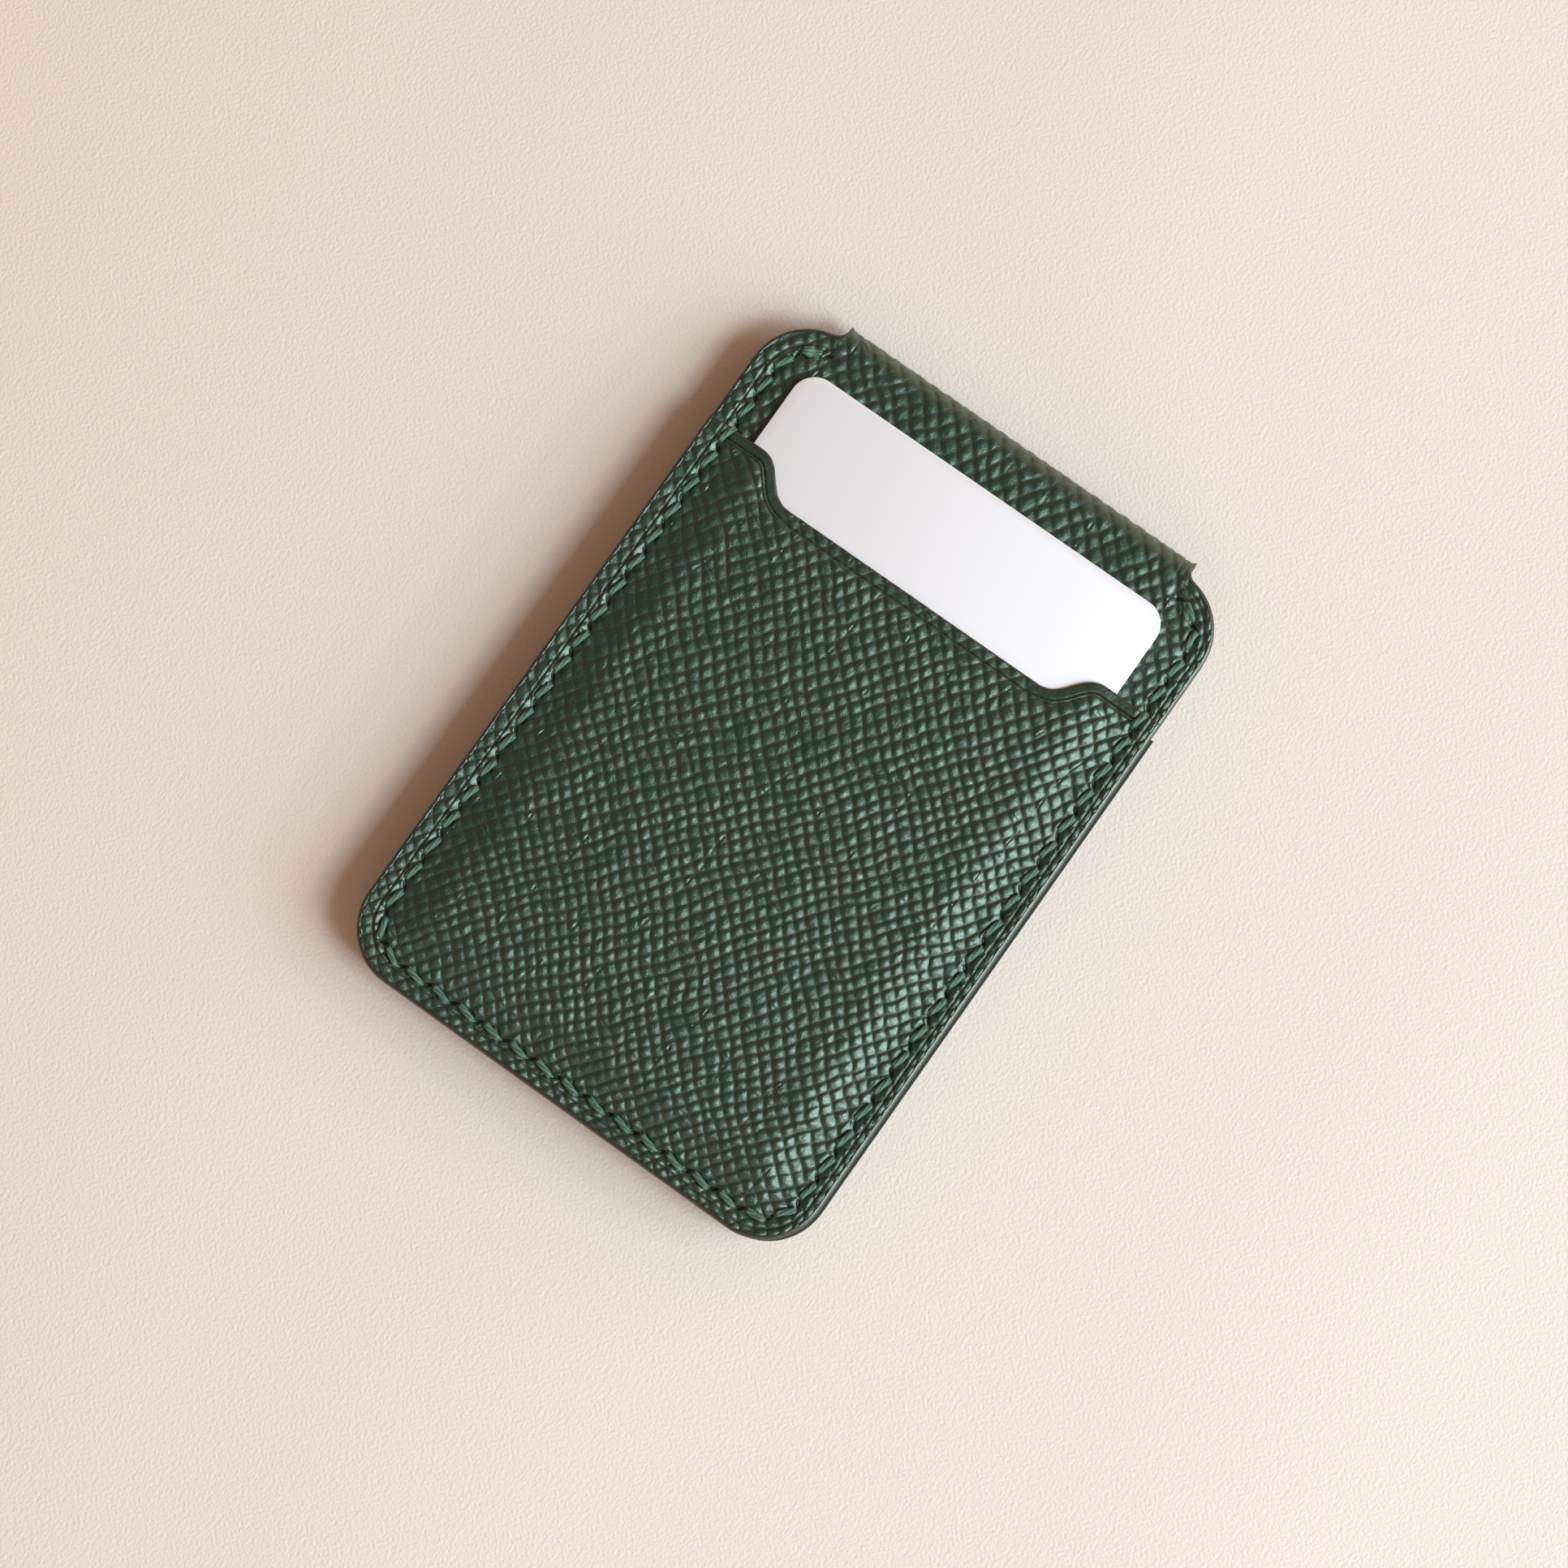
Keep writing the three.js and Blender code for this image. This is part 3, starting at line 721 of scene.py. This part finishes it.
def leather_material(name):
    """Pressed green leather with painted edges. It reads the marks that the meshes carry, and paints
    shade into the grooves, creases and hollows that they mark.
    """
    make = Recipe(name, IOR=1.54, Specular_IOR_Level=1.0)
    make.shader.inputs["Specular Tint"].default_value = (0.8, 1.0, 0.88, 1.0)
    place = make.mark("leather", "Vector")
    pebble = make.mark("pebble")
    cloud = make.noise(place, 0.07, 2.0)
    fleck = make.noise(place, 4.2, 4.0, 0.62)
    top = make.mix(cloud, srgb(18, 45, 35), srgb(22, 51, 41))
    top = make.mix(make.span(fleck, 0.35, 0.7), top, srgb(29, 59, 48))
    # Painted shade: where the pebble mark is low, in the grain's grooves and the ironed creases, the
    # colour goes to a near-black green.
    body = make.mix(make.span(pebble, 0.0, 0.15), srgb(2, 27, 21), top)
    # Painted shade in the awl holes, the seam's valley, the groove at the paint's lap and the pocket's
    # creases.
    body = make.mix(make.math("MULTIPLY", make.mark("hollow_shade"), 0.8), body, srgb(10, 18, 15))
    olive = make.math("MULTIPLY", make.mark("olive"), 0.65)
    body = make.mix(olive, body, srgb(60, 66, 42))
    paint_colour = make.mix(make.noise(place, 0.8, 3.0), *PAINT_COLOURS)
    colour = make.mix(make.mark("paint"), body, paint_colour)
    rough = make.span(pebble, 0.0, 0.2, 0.75, 0.33)
    rough = make.math("ADD", rough, make.span(fleck, 0.3, 0.7, -0.06, 0.06))
    creases = make.span(make.cracks(place, 2.2), 0.0, 0.1, -0.2, 0.0)
    fine = make.math("ADD", make.math("MULTIPLY", fleck, 0.7), creases)
    normal = make.bump(fine, 0.00004, 1.0)
    pores = make.noise(place, 9.0, 2.0)
    normal = make.bump(pores, 0.00001, 0.8, normal)
    return make.finish(colour, rough, normal)


def suede_material():
    make = Recipe("suede_lining", Sheen_Weight=0.35, Sheen_Roughness=0.5)
    make.shader.inputs["Sheen Tint"].default_value = srgb(120, 160, 140)
    place = make.mark("leather", "Vector")
    nap = make.noise(place, 4.0, 5.0, 0.7)
    cloud = make.noise(place, 0.12, 3.0)
    colour = make.mix(make.span(nap, 0.3, 0.7), srgb(30, 50, 41), srgb(50, 78, 65))
    colour = make.mix(make.span(cloud, 0.35, 0.65), colour, srgb(40, 64, 53))
    # Painted shade along the edges of the ring pressed into the rear lining.
    colour = make.mix(make.math("MULTIPLY", make.mark("hollow_shade"), 0.5), colour, srgb(24, 40, 33))
    colour = make.mix(make.mark("paint"), colour, srgb(24, 24, 22))
    return make.finish(colour, 0.92, make.bump(nap, 0.00012, 0.9))


def thread_material():
    make = Recipe("waxed_thread", Sheen_Weight=0.15, Specular_IOR_Level=0.5)
    strand = make.mark("strand", "Vector")
    fibre = make.noise(make.stretch(strand, (9.0, 0.9, 1.0)), 1.0, 4.0, 0.6)
    lobe = make.mark("lobe")
    colour = make.mix(make.span(fibre, 0.32, 0.7), srgb(46, 88, 74), srgb(98, 146, 127))
    # Painted shade in the gaps between the strands, where the lobe mark is low.
    colour = make.mix(make.span(lobe, 0.0, 0.6, 0.85, 0.0), colour, srgb(16, 38, 31))
    return make.finish(colour, 0.45, make.bump(fibre, 0.0001, 1.0))


def card_material():
    make = Recipe("card_plastic", IOR=1.5, Coat_Weight=0.15, Coat_Roughness=0.2)
    place = make.place()
    haze = make.noise(place, 60.0, 2.0)
    colour = make.mix(haze, srgb(238, 240, 245), srgb(235, 237, 243))
    skin = make.noise(place, 2600.0, 2.0)
    return make.finish(colour, 0.38, make.bump(skin, 0.00001, 0.4))


def board_material():
    """Grey fibre board whose outer edge is painted with the leather's."""
    make = Recipe("stiffening_board")
    place = make.place()
    fibre = make.noise(make.stretch(place, (900.0, 300.0, 900.0)), 1.0, 4.0)
    colour = make.mix(fibre, srgb(96, 90, 80), srgb(130, 122, 108))
    paint = make.span(make.normal_z(), 0.3, 0.7, 1.0, 0.0)
    paint_colour = make.mix(make.noise(place, 700.0, 3.0), *PAINT_COLOURS)
    colour = make.mix(paint, colour, paint_colour)
    return make.finish(colour, 0.6, make.bump(fibre, 0.00008, 0.6))


def metal_material(name, colour, rough):
    make = Recipe(name, Metallic=1.0)
    place = make.place()
    wipe = make.noise(make.stretch(place, (300.0, 4000.0, 300.0)), 1.0, 3.0)
    shade = make.mix(wipe, colour, tuple(0.82 * part for part in colour[:3]) + (1.0,))
    return make.finish(shade, make.span(wipe, 0.3, 0.7, rough, rough + 0.12),
                       make.bump(wipe, 0.00001, 0.5))


def floor_material():
    make = Recipe("floor_paper", Specular_IOR_Level=0.25)
    place = make.place()
    skin = make.noise(place, 2300.0, 2.0)
    cloud = make.noise(place, 9.0, 2.0)
    colour = make.mix(cloud, srgb(233, 224, 215), srgb(237, 228, 219))
    return make.finish(colour, 0.75, make.bump(skin, 0.00011, 0.8))


LEATHER_LOOK = leather_material("green_leather")
SUEDE_LOOK = suede_material()
THREAD_LOOK = thread_material()
CARD_LOOK = card_material()


# Pieces


def sheet_grid(step, parts, line_end, strip_step):
    """A half's grid with its fold strip: x, s and the strip's place."""
    x = columns(step)
    body = rows(free_end(x), fold_corners(x), parts)
    count = max(int((line_end - NOTCH_S) / strip_step), 4)
    round_fold = np.linspace(NOTCH_S, line_end, count + 1)[1:, None]
    s = np.vstack([body, np.broadcast_to(round_fold, (count, len(x)))])
    left, right = [int(np.abs(x - end).argmin()) for end in (-STRIP_X, STRIP_X)]
    return x, s, (len(body) - 1, left, right)


def wrap_leather(name, step, parts, mirrored, sink):
    """One half of the wrap leather with its quarter of the fold."""
    line = fold_line(FRONT_TOP - LEATHER / 2, FOLD_R - LEATHER / 2)
    line_end = line[0][-1]
    x, s, strip = sheet_grid(step, parts, line_end, step)
    grid_x = np.broadcast_to(x, s.shape)
    on_strip = (s > CORNER_TOP_Y) & (np.abs(grid_x) <= STRIP_X + 0.01)
    worn = smooth(s, FOLD_Y - WORN_FROM, line_end) * on_strip
    grain = pebbles(grid_x, 2 * line_end - s if mirrored else s)
    relief, marks = dressed(grid_x, s, grain, outline_depth(grid_x, s), 0.4 * worn, sink)
    cut_end = smooth(np.abs(grid_x), STRIP_X - 0.4, STRIP_X - 0.1)
    cut_end = cut_end * smooth(s, NOTCH_S + 0.3, NOTCH_S + 0.9)
    marks["olive"] = worn
    marks["paint"] = np.where(on_strip, 0.8 * cut_end, marks["paint"])
    fine = LEATHER / 2 + relief
    plain = np.full(s.shape, -LEATHER / 2)

    def place(at_x, at_s, height):
        """The strip's ends are cut a little unevenly and stand out from the notches."""
        side = np.sign(at_x)
        end = smooth(np.abs(at_x), STRIP_X - 1.2, STRIP_X) * (np.abs(at_x) <= STRIP_X + 0.01)
        end = end * smooth(at_s, NOTCH_S + 0.2, NOTCH_S + 1.2)
        beyond = line_end - np.abs(line_end - at_s)
        ragged = 0.04 + 0.03 * noise(beyond, side * 7.3, 0.8, 71)
        lifted = height + 0.05 * end * (1.0 + noise(beyond, side * 5.1, 0.9, 72))
        return on_line(line, at_x + side * end * ragged, at_s, lifted, mirrored)

    return sheet(name, LEATHER_LOOK, x, s, place, fine, plain, marks, strip, flip=mirrored)


def front_wrap():
    near = 0.72
    low = np.linspace(0.0, near, 30, endpoint=False)
    high = np.linspace(near, 1.0, 150)
    parts = np.concatenate([low, high])[1:-1]
    made = wrap_leather("front_wrap_leather", 0.19, parts, False, 0.25)
    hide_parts("front_cover", "fold_strip")
    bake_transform(made)


def rear_wrap():
    parts = even_parts(96.0, 0.34)
    made = wrap_leather("rear_wrap_leather", 0.34, parts, True, 0.42)
    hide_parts("back_cover", "fold_strip")
    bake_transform(made)


def pocket_parts():
    """Shares of the pocket's height for its rows, closer along the seam and along the mouth."""
    length = MOUTH_Y - FREE_Y
    foot = 5.2 / length
    head = 1.0 - 4.4 / length
    seam = np.linspace(0.0, foot, 46, endpoint=False)
    middle = np.linspace(foot, head, int((head - foot) * length / 0.165), endpoint=False)
    lip = np.linspace(head, 1.0, 40)
    return np.concatenate([seam, middle, lip])[1:-1]


def lip_creases(from_mouth, curve):
    """The lines ironed in along the mouth: one all the way, and a fainter one round its curves."""
    first = groove(from_mouth - (1.62 - 0.34 * curve), 0.4)
    return np.maximum(first, 0.6 * curve * groove(from_mouth - 1.72, 0.3))


def pocket():
    """The front pocket, pushed up by the card in it."""
    room_columns = (CARD_ROOM_X, CARD_ROOM_X + CARD_ROOM_WALL)
    x = columns(0.165, 0.11, room_columns)
    s = rows(free_end(x), mouth(x), pocket_parts())
    grid_x = np.broadcast_to(x, s.shape)
    mouth_x = np.linspace(-HALF_WIDTH, HALF_WIDTH, 671)
    from_mouth = np.full(s.shape, 50.0)
    near = len(s) - 90
    from_mouth[near:] = nearest(grid_x[near:], s[near:], mouth_x, mouth(mouth_x))
    sides = outline_depth(grid_x, np.minimum(s, 0.0))
    seam_side = sides - SEAM_INSET
    curve = smooth(np.abs(grid_x), MOUTH_FLAT - 1.5, MOUTH_FLAT + 1.0)
    lip = 1.0 - smooth(from_mouth, 1.5, 1.9)
    grain = pebbles(grid_x, s)
    relief, marks = dressed(grid_x, s, grain, sides, 0.85 * lip * (0.25 + 0.75 * curve))
    lift = smooth(seam_side, 0.2, 6.5)
    swell = (BULGE_TOP - POCKET_TOP) * (0.9 * lift + 0.1 * smooth(seam_side, 3.0, 26.0))
    thinned = smooth(CARD_ROOM_X - np.abs(grid_x), -3.0, 1.0)
    skive = 0.38 * (1.0 - smooth(from_mouth, 0.3, 3.0)) * thinned
    creases = lip_creases(from_mouth, curve) * smooth(seam_side, -1.0, 0.0)
    relief -= 0.22 * creases + edge_fall(from_mouth, 0.26, 0.34)
    fine = POCKET_TOP + swell - skive + relief
    # Painted shade: along the lip's creases both marks below darken the colour.
    marks["pebble"] = np.clip(marks["pebble"] - 0.9 * creases, 0.0, 1.0)
    marks["hollow_shade"] = np.maximum(marks["hollow_shade"], 0.8 * creases)
    marks["paint"] = np.maximum(marks["paint"], 1.0 - smooth(from_mouth, 0.22, 0.42))
    marks["olive"] = 0.12 * lip * curve
    room = (np.abs(grid_x) < CARD_ROOM_X + 0.01) & (s > CARD_LOW[1] - 2.0)
    plain = np.where(room, CARD_ROOM_TOP, FRONT_TOP + 0.01)
    kept = [side * column for column in room_columns for side in (1, -1)]
    made = sheet("pocket_leather", LEATHER_LOOK, x, s, on_plane, fine, plain, marks, kept=kept)
    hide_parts("card_pocket")
    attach(made, "front_half")


def inner_pocket():
    """The pocket on the inner side of the front half. Its grain side looks down at the rear half.

    It was cut a touch wide, and shows past the cover on the high x side.
    """
    x = columns(0.34)
    s = rows(free_end(x), inner_mouth(x), even_parts(76.0, 0.34))
    grid_x = np.broadcast_to(x, s.shape)
    sides = outline_depth(grid_x, np.minimum(s, 0.0))
    from_mouth = inner_mouth(grid_x) - s
    grain = pebbles(grid_x, s)
    relief, marks = dressed(grid_x, s, grain, sides, np.zeros(s.shape), 0.3)
    creases = groove(from_mouth - 1.5, 0.4)
    relief -= 0.12 * creases + edge_fall(from_mouth, 0.2, 0.3)
    # Painted shade: the mouth's crease lowers the pebble mark, so the colour goes dark along it.
    marks["pebble"] = np.clip(marks["pebble"] - 0.65 * creases, 0.0, 1.0)
    marks["paint"] = np.maximum(marks["paint"], 1.0 - smooth(from_mouth, 0.1, 0.28))
    marks["olive"] = np.zeros(s.shape)
    fine = INNER_LOW[2] - relief
    plain = np.full(s.shape, INNER_HIGH[2])

    def place(at_x, at_s, height):
        return on_plane(at_x + INNER_OVERHANG * smooth(at_x, 24.0, 31.0), at_s, height)

    made = sheet("inner_pocket_leather", LEATHER_LOOK, x, s, place, fine, plain, marks, flip=True)
    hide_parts("inner_pocket")
    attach(made, "front_half")


def lining(name, flat, mirrored, sink):
    """A suede lining with its quarter of the fold. Its nap looks into the holder."""
    line = fold_line(flat, FOLD_R - LEATHER - LINING / 2)
    line_end = line[0][-1]
    x, s, strip = sheet_grid(0.7, even_parts(96.0, 0.6), line_end, 0.3)
    grid_x = np.broadcast_to(x, s.shape)
    depth = outline_depth(grid_x, s)
    relief = -edge_fall(depth, 0.15, 0.25) - sink * groove(near_seam(grid_x, s), 2.4)
    from_ring = np.abs(np.hypot(grid_x, s - RING_Y) - RING_R + 2.5)
    ring = (1.0 - smooth(from_ring, 2.2, 3.4)) * mirrored
    relief -= 0.04 * ring
    marks = {
        "pebble": np.ones(s.shape),
        "paint": 1.0 - smooth(depth, 0.1, 0.3),
        # Painted shade along both edges of the shallow ring pressed into the rear lining.
        "hollow_shade": groove(from_ring - 2.8, 1.0) * mirrored,
        "olive": np.zeros(s.shape),
    }
    fine = -LINING / 2 - relief
    plain = np.full(s.shape, LINING / 2)

    def place(at_x, at_s, height):
        return on_line(line, at_x, at_s, height, mirrored)

    made = sheet(name, SUEDE_LOOK, x, s, place, fine, plain, marks, strip, flip=not mirrored)
    return made


def linings():
    rear_flat = FRONT_TOP - (LINING_LOW[2] + LINING_HIGH[2]) / 2
    rear = lining("rear_suede_lining", rear_flat, True, 0.3)
    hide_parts("back_lining", "fold_lining")
    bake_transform(rear)
    front_flat = (FRONT_LINING_LOW[2] + FRONT_LINING_HIGH[2]) / 2
    front = lining("front_suede_lining", front_flat, False, 0.05)
    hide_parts("front_lining", "fold_lining")
    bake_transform(front)


# Thread


def stitch(k, height, up, reach, aside=0.0, count_along=24, count_round=20):
    """One stitch, a flattened bundle of strands pulled straight between two slanting awl holes.

    height gives the leather's z at a point, and up is 1 or -1, the side of the leather it lies on.
    reach is how far from the middle of its holes it comes out, and aside shifts a doubled stitch.
    Returns points, faces and the coordinates that the thread's fibres follow.
    """
    draws = np.random.default_rng(700 + k).uniform(-1.0, 1.0, 3)
    hole, heading = seam_at(k * PITCH)
    next_hole, next_heading = seam_at((k + 1) * PITCH)
    start = hole + slit_way(heading) * SLIT_HALF * reach
    stop = next_hole - slit_way(next_heading) * SLIT_HALF * reach
    length = np.hypot(*(stop - start))
    side_x, side_y = (stop - start)[::-1] / length * (1, -1)
    share = 0.5 - 0.5 * np.cos(np.linspace(0.0, math.pi, count_along))[:, None]
    swing = np.abs(2.0 * share - 1.0)
    belly = 1 - swing**2
    dive = smooth(swing, 0.7, 1.0)
    shift = aside * (0.42 - 0.3 * share) + 0.05 * draws[2] * np.sin(math.pi * share)
    x = start[0] * (1 - share) + stop[0] * share + side_x * shift
    y = start[1] * (1 - share) + stop[1] * share + side_y * shift
    rest = height(x, y) + up * (0.13 + 0.05 * belly + 0.1 * abs(aside) - THREAD_DIVE * dive**1.6)
    angle = np.linspace(0.0, 2 * math.pi, count_round, endpoint=False)
    turn = (draws[1] + share * HALF_TURNS) * math.pi
    lobe = 0.5 + 0.5 * np.cos(STRANDS * (angle - turn))
    girth = (1.0 + 0.06 * draws[0] + 0.1 * belly) * (0.8 + 0.22 * lobe**0.7) / 2
    across = THREAD_WIDTH * (1.0 - 0.12 * dive) * girth * np.cos(angle)
    over = up * THREAD_HEIGHT * girth * np.sin(angle)
    points = np.stack([x + side_x * across, y + side_y * across, rest + over], axis=-1)
    round_thread = (angle - turn) / (2 * math.pi) * 2.4
    fibres = on_plane(round_thread, share * length, k * 7.0 + aside)
    index = np.arange(count_along * count_round).reshape(count_along, count_round)
    after = np.roll(index, -1, axis=1)
    quads = np.stack([index[:-1], after[:-1], after[1:], index[1:]], axis=-1).reshape(-1, 4)
    faces = quads.tolist() + [index[0, ::-1].tolist(), index[-1].tolist()]
    if up > 0:
        faces = [face[::-1] for face in faces]
    return points.reshape(-1, 3), faces, lobe.ravel(), fibres.reshape(-1, 3)


def stitches(name, courses):
    """One object of stitches. Each course is a height, a side and a reach."""
    points = []
    faces = []
    lobes = []
    fibres = []
    count = 0
    single = [(k, 0.0) for k in range(1, STITCHES - 1)]
    doubled = [(k, aside) for k in (0, STITCHES - 1) for aside in (-1.0, 1.0)]
    for height, up, reach in courses:
        for k, aside in single + doubled:
            some, sides, lobe, fibre = stitch(k, height, up, reach, aside)
            points.append(some)
            faces += [[v + count for v in side] for side in sides]
            lobes.append(lobe)
            fibres.append(fibre)
            count += len(some)
    made = make_object(name, np.concatenate(points), faces, THREAD_LOOK, 80.0)
    set_mark(made, "lobe", np.concatenate(lobes))
    set_mark(made, "strand", np.concatenate(fibres))
    return made


def seam_threads():
    def front(x, y):
        """The pocket over most of the seam, and the cover past the pocket's shoulders.

        The last stitches are pulled lower where the card passes them.
        """
        pulled = 0.42 * smooth(CARD_HIGH[0] + 1.3 - abs(x), 0.0, 0.8) * (y > SHOULDER_Y)
        return FRONT_TOP + LEATHER * smooth(SHOULDER_Y + 0.55 - y, -0.1, 0.9) - 0.2 - pulled

    def inside(x, y):
        drop = INNER_LOW[2] - FRONT_LINING_LOW[2]
        return FRONT_LINING_LOW[2] + drop * smooth(inner_mouth(x) + 0.5 - y, -0.1, 0.9) + 0.3

    def rear(x, y):
        return 0.38

    def rear_inside(x, y):
        return LINING_HIGH[2] - 0.3

    made = stitches("front_seam_thread", [(front, 1, 0.95), (inside, -1, 0.4)])
    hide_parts("front_thread")
    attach(made, "front_half")
    made = stitches("rear_seam_thread", [(rear, -1, 0.95), (rear_inside, 1, 0.4)])
    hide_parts("rear_thread")
    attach(made, "rear_half")


# Card


def card():
    """A blank plastic card with softened edges."""
    radius = CARD_CORNER_R
    soften = 0.1
    layers = [(CARD_LOW[2], soften), (CARD_LOW[2] + soften, 0.0), (CARD_HIGH[2] - soften, 0.0),
              (CARD_HIGH[2] - 0.03, 0.035), (CARD_HIGH[2], soften)]
    corner_angles = np.linspace(0.0, math.pi / 2, 17)
    points = []
    for z, inset in layers:
        for turn, high in enumerate(((True, True), (False, True), (False, False), (True, False))):
            angle = corner_angles + turn * math.pi / 2
            middle = np.where(high, CARD_HIGH[:2] - radius, CARD_LOW[:2] + radius)
            x = middle[0] + (radius - inset) * np.cos(angle)
            y = middle[1] + (radius - inset) * np.sin(angle) - CARD_SEAT
            points.append(on_plane(x, y, z))
    size = 4 * len(corner_angles)
    index = np.arange(size * len(layers)).reshape(len(layers), size)
    faces = [index[0, ::-1].tolist(), index[-1].tolist()]
    for low, high in zip(index, index[1:]):
        quads = np.stack([low, np.roll(low, -1), np.roll(high, -1), high], axis=-1)
        faces += quads.tolist()
    made = make_object("blank_card", np.concatenate(points), faces, CARD_LOOK, 25.0)
    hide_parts("card")
    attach(made, "card_body")


# CAD nodes that stay


def dress_cad_nodes():
    board = board_material()
    nickel = metal_material("nickel_plating", srgb(196, 192, 184), 0.22)
    steel = metal_material("shield_steel", srgb(150, 153, 158), 0.36)
    for name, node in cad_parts.items():
        if "board" in name:
            look = board
        elif "magnet" in name:
            look = nickel
        elif "shield" in name or "keeper" in name:
            look = steel
        else:
            continue
        node.data.materials.clear()
        node.data.materials.append(look)


# Stage

PHOTO_TURN_DEG = 35.37
VIEW_TILT_Y_DEG = 3.6
VIEW_TILT_X_DEG = 5.0
CAMERA_DISTANCE = 0.445
FRAME_WIDTH = 0.19015  # what the picture takes in at the target
SENSOR_WIDTH = 36.0
WALL_COLOUR = (1.0, 0.61, 0.4, 1.0)
WALL_TO_CEILING = (0.0, 1.0, 1.1, 0.13)  # heights and the world's strength there
FAR_TO_NEAR = (-1.0, 1.0, 0.4, 1.6)  # sides of the room and their share of it
TARGET = Vector((0.33, -1.88, 7.0)) * MM


def view_axes():
    """Right, up and back of the camera in the object's frame."""
    tilt_x = math.tan(math.radians(VIEW_TILT_X_DEG))
    tilt_y = math.tan(math.radians(VIEW_TILT_Y_DEG))
    back = Vector((tilt_x, -tilt_y, 1.0)).normalized()
    along = Vector((0.0, 1.0, 0.0))
    along = (along - along.dot(back) * back).normalized()
    across = along.cross(back)
    turn = math.radians(PHOTO_TURN_DEG)
    up = math.cos(turn) * along - math.sin(turn) * across
    return up.cross(back), up, back


def add_camera():
    right, up, back = view_axes()
    camera = bpy.data.objects.new("camera", bpy.data.cameras.new("camera"))
    bpy.context.scene.collection.objects.link(camera)
    place = TARGET + back * CAMERA_DISTANCE
    basis = Matrix((right, up, back)).transposed().to_4x4()
    camera.matrix_world = Matrix.Translation(place) @ basis
    camera.data.lens = SENSOR_WIDTH * CAMERA_DISTANCE / FRAME_WIDTH
    camera.data.sensor_width = SENSOR_WIDTH
    camera.data.clip_start = 0.01
    bpy.context.scene.camera = camera


def add_light(name, right_part, up_part, height, size, power, colour):
    """A softbox that looks at the holder from a place given in the picture's directions."""
    right, up, _ = view_axes()
    spot = right * right_part + up * up_part
    spot.z = height
    lamp = bpy.data.lights.new(name, "AREA")
    lamp.shape = "RECTANGLE"
    lamp.size, lamp.size_y = size
    lamp.energy = power
    lamp.color = colour
    made = bpy.data.objects.new(name, lamp)
    made.location = spot
    made.rotation_euler = (-spot).to_track_quat("-Z", "Y").to_euler()
    bpy.context.scene.collection.objects.link(made)


def add_floor():
    size = 3.0
    points = [(-size, -size, 0), (size, -size, 0), (size, size, 0), (-size, size, 0)]
    floor = make_object("floor", np.array(points) / MM, [[0, 1, 2, 3]], floor_material())
    floor.location.z = -0.02 * MM


def add_world():
    """Warm walls, brighter on the key light's side, and a dark ceiling over the camera."""
    right, up, _ = view_axes()
    world = bpy.data.worlds.new("studio")
    bpy.context.scene.world = world
    world.use_nodes = True
    nodes = world.node_tree.nodes
    links = world.node_tree.links

    def graded(value, limits):
        part = nodes.new("ShaderNodeMapRange")
        links.new(value, part.inputs[0])
        for socket, limit in zip(list(part.inputs)[1:5], limits):
            socket.default_value = limit
        return part.outputs[0]

    way = nodes.new("ShaderNodeTexCoord").outputs["Generated"]
    split = nodes.new("ShaderNodeSeparateXYZ")
    links.new(way, split.inputs[0])
    toward_key = nodes.new("ShaderNodeVectorMath")
    toward_key.operation = "DOT_PRODUCT"
    links.new(way, toward_key.inputs[0])
    toward_key.inputs[1].default_value = (0.8 * right - 0.6 * up).normalized()
    strength = nodes.new("ShaderNodeMath")
    strength.operation = "MULTIPLY"
    links.new(graded(split.outputs["Z"], WALL_TO_CEILING), strength.inputs[0])
    links.new(graded(toward_key.outputs["Value"], FAR_TO_NEAR), strength.inputs[1])
    shade = nodes["Background"]
    shade.inputs["Color"].default_value = WALL_COLOUR
    links.new(strength.outputs[0], shade.inputs["Strength"])


def stage():
    add_camera()
    add_floor()
    add_world()
    add_light("key", 1.19, -0.47, 0.66, (1.25, 0.9), 20.5, (0.78, 1.0, 1.1))
    add_light("high key", 0.7, -0.47, 0.97, (0.46, 0.34), 7.4, (0.85, 0.98, 1.05))
    bpy.context.scene.view_settings.view_transform = "Standard"


stage()
front_wrap()
rear_wrap()
pocket()
inner_pocket()
linings()
seam_threads()
card()
dress_cad_nodes()
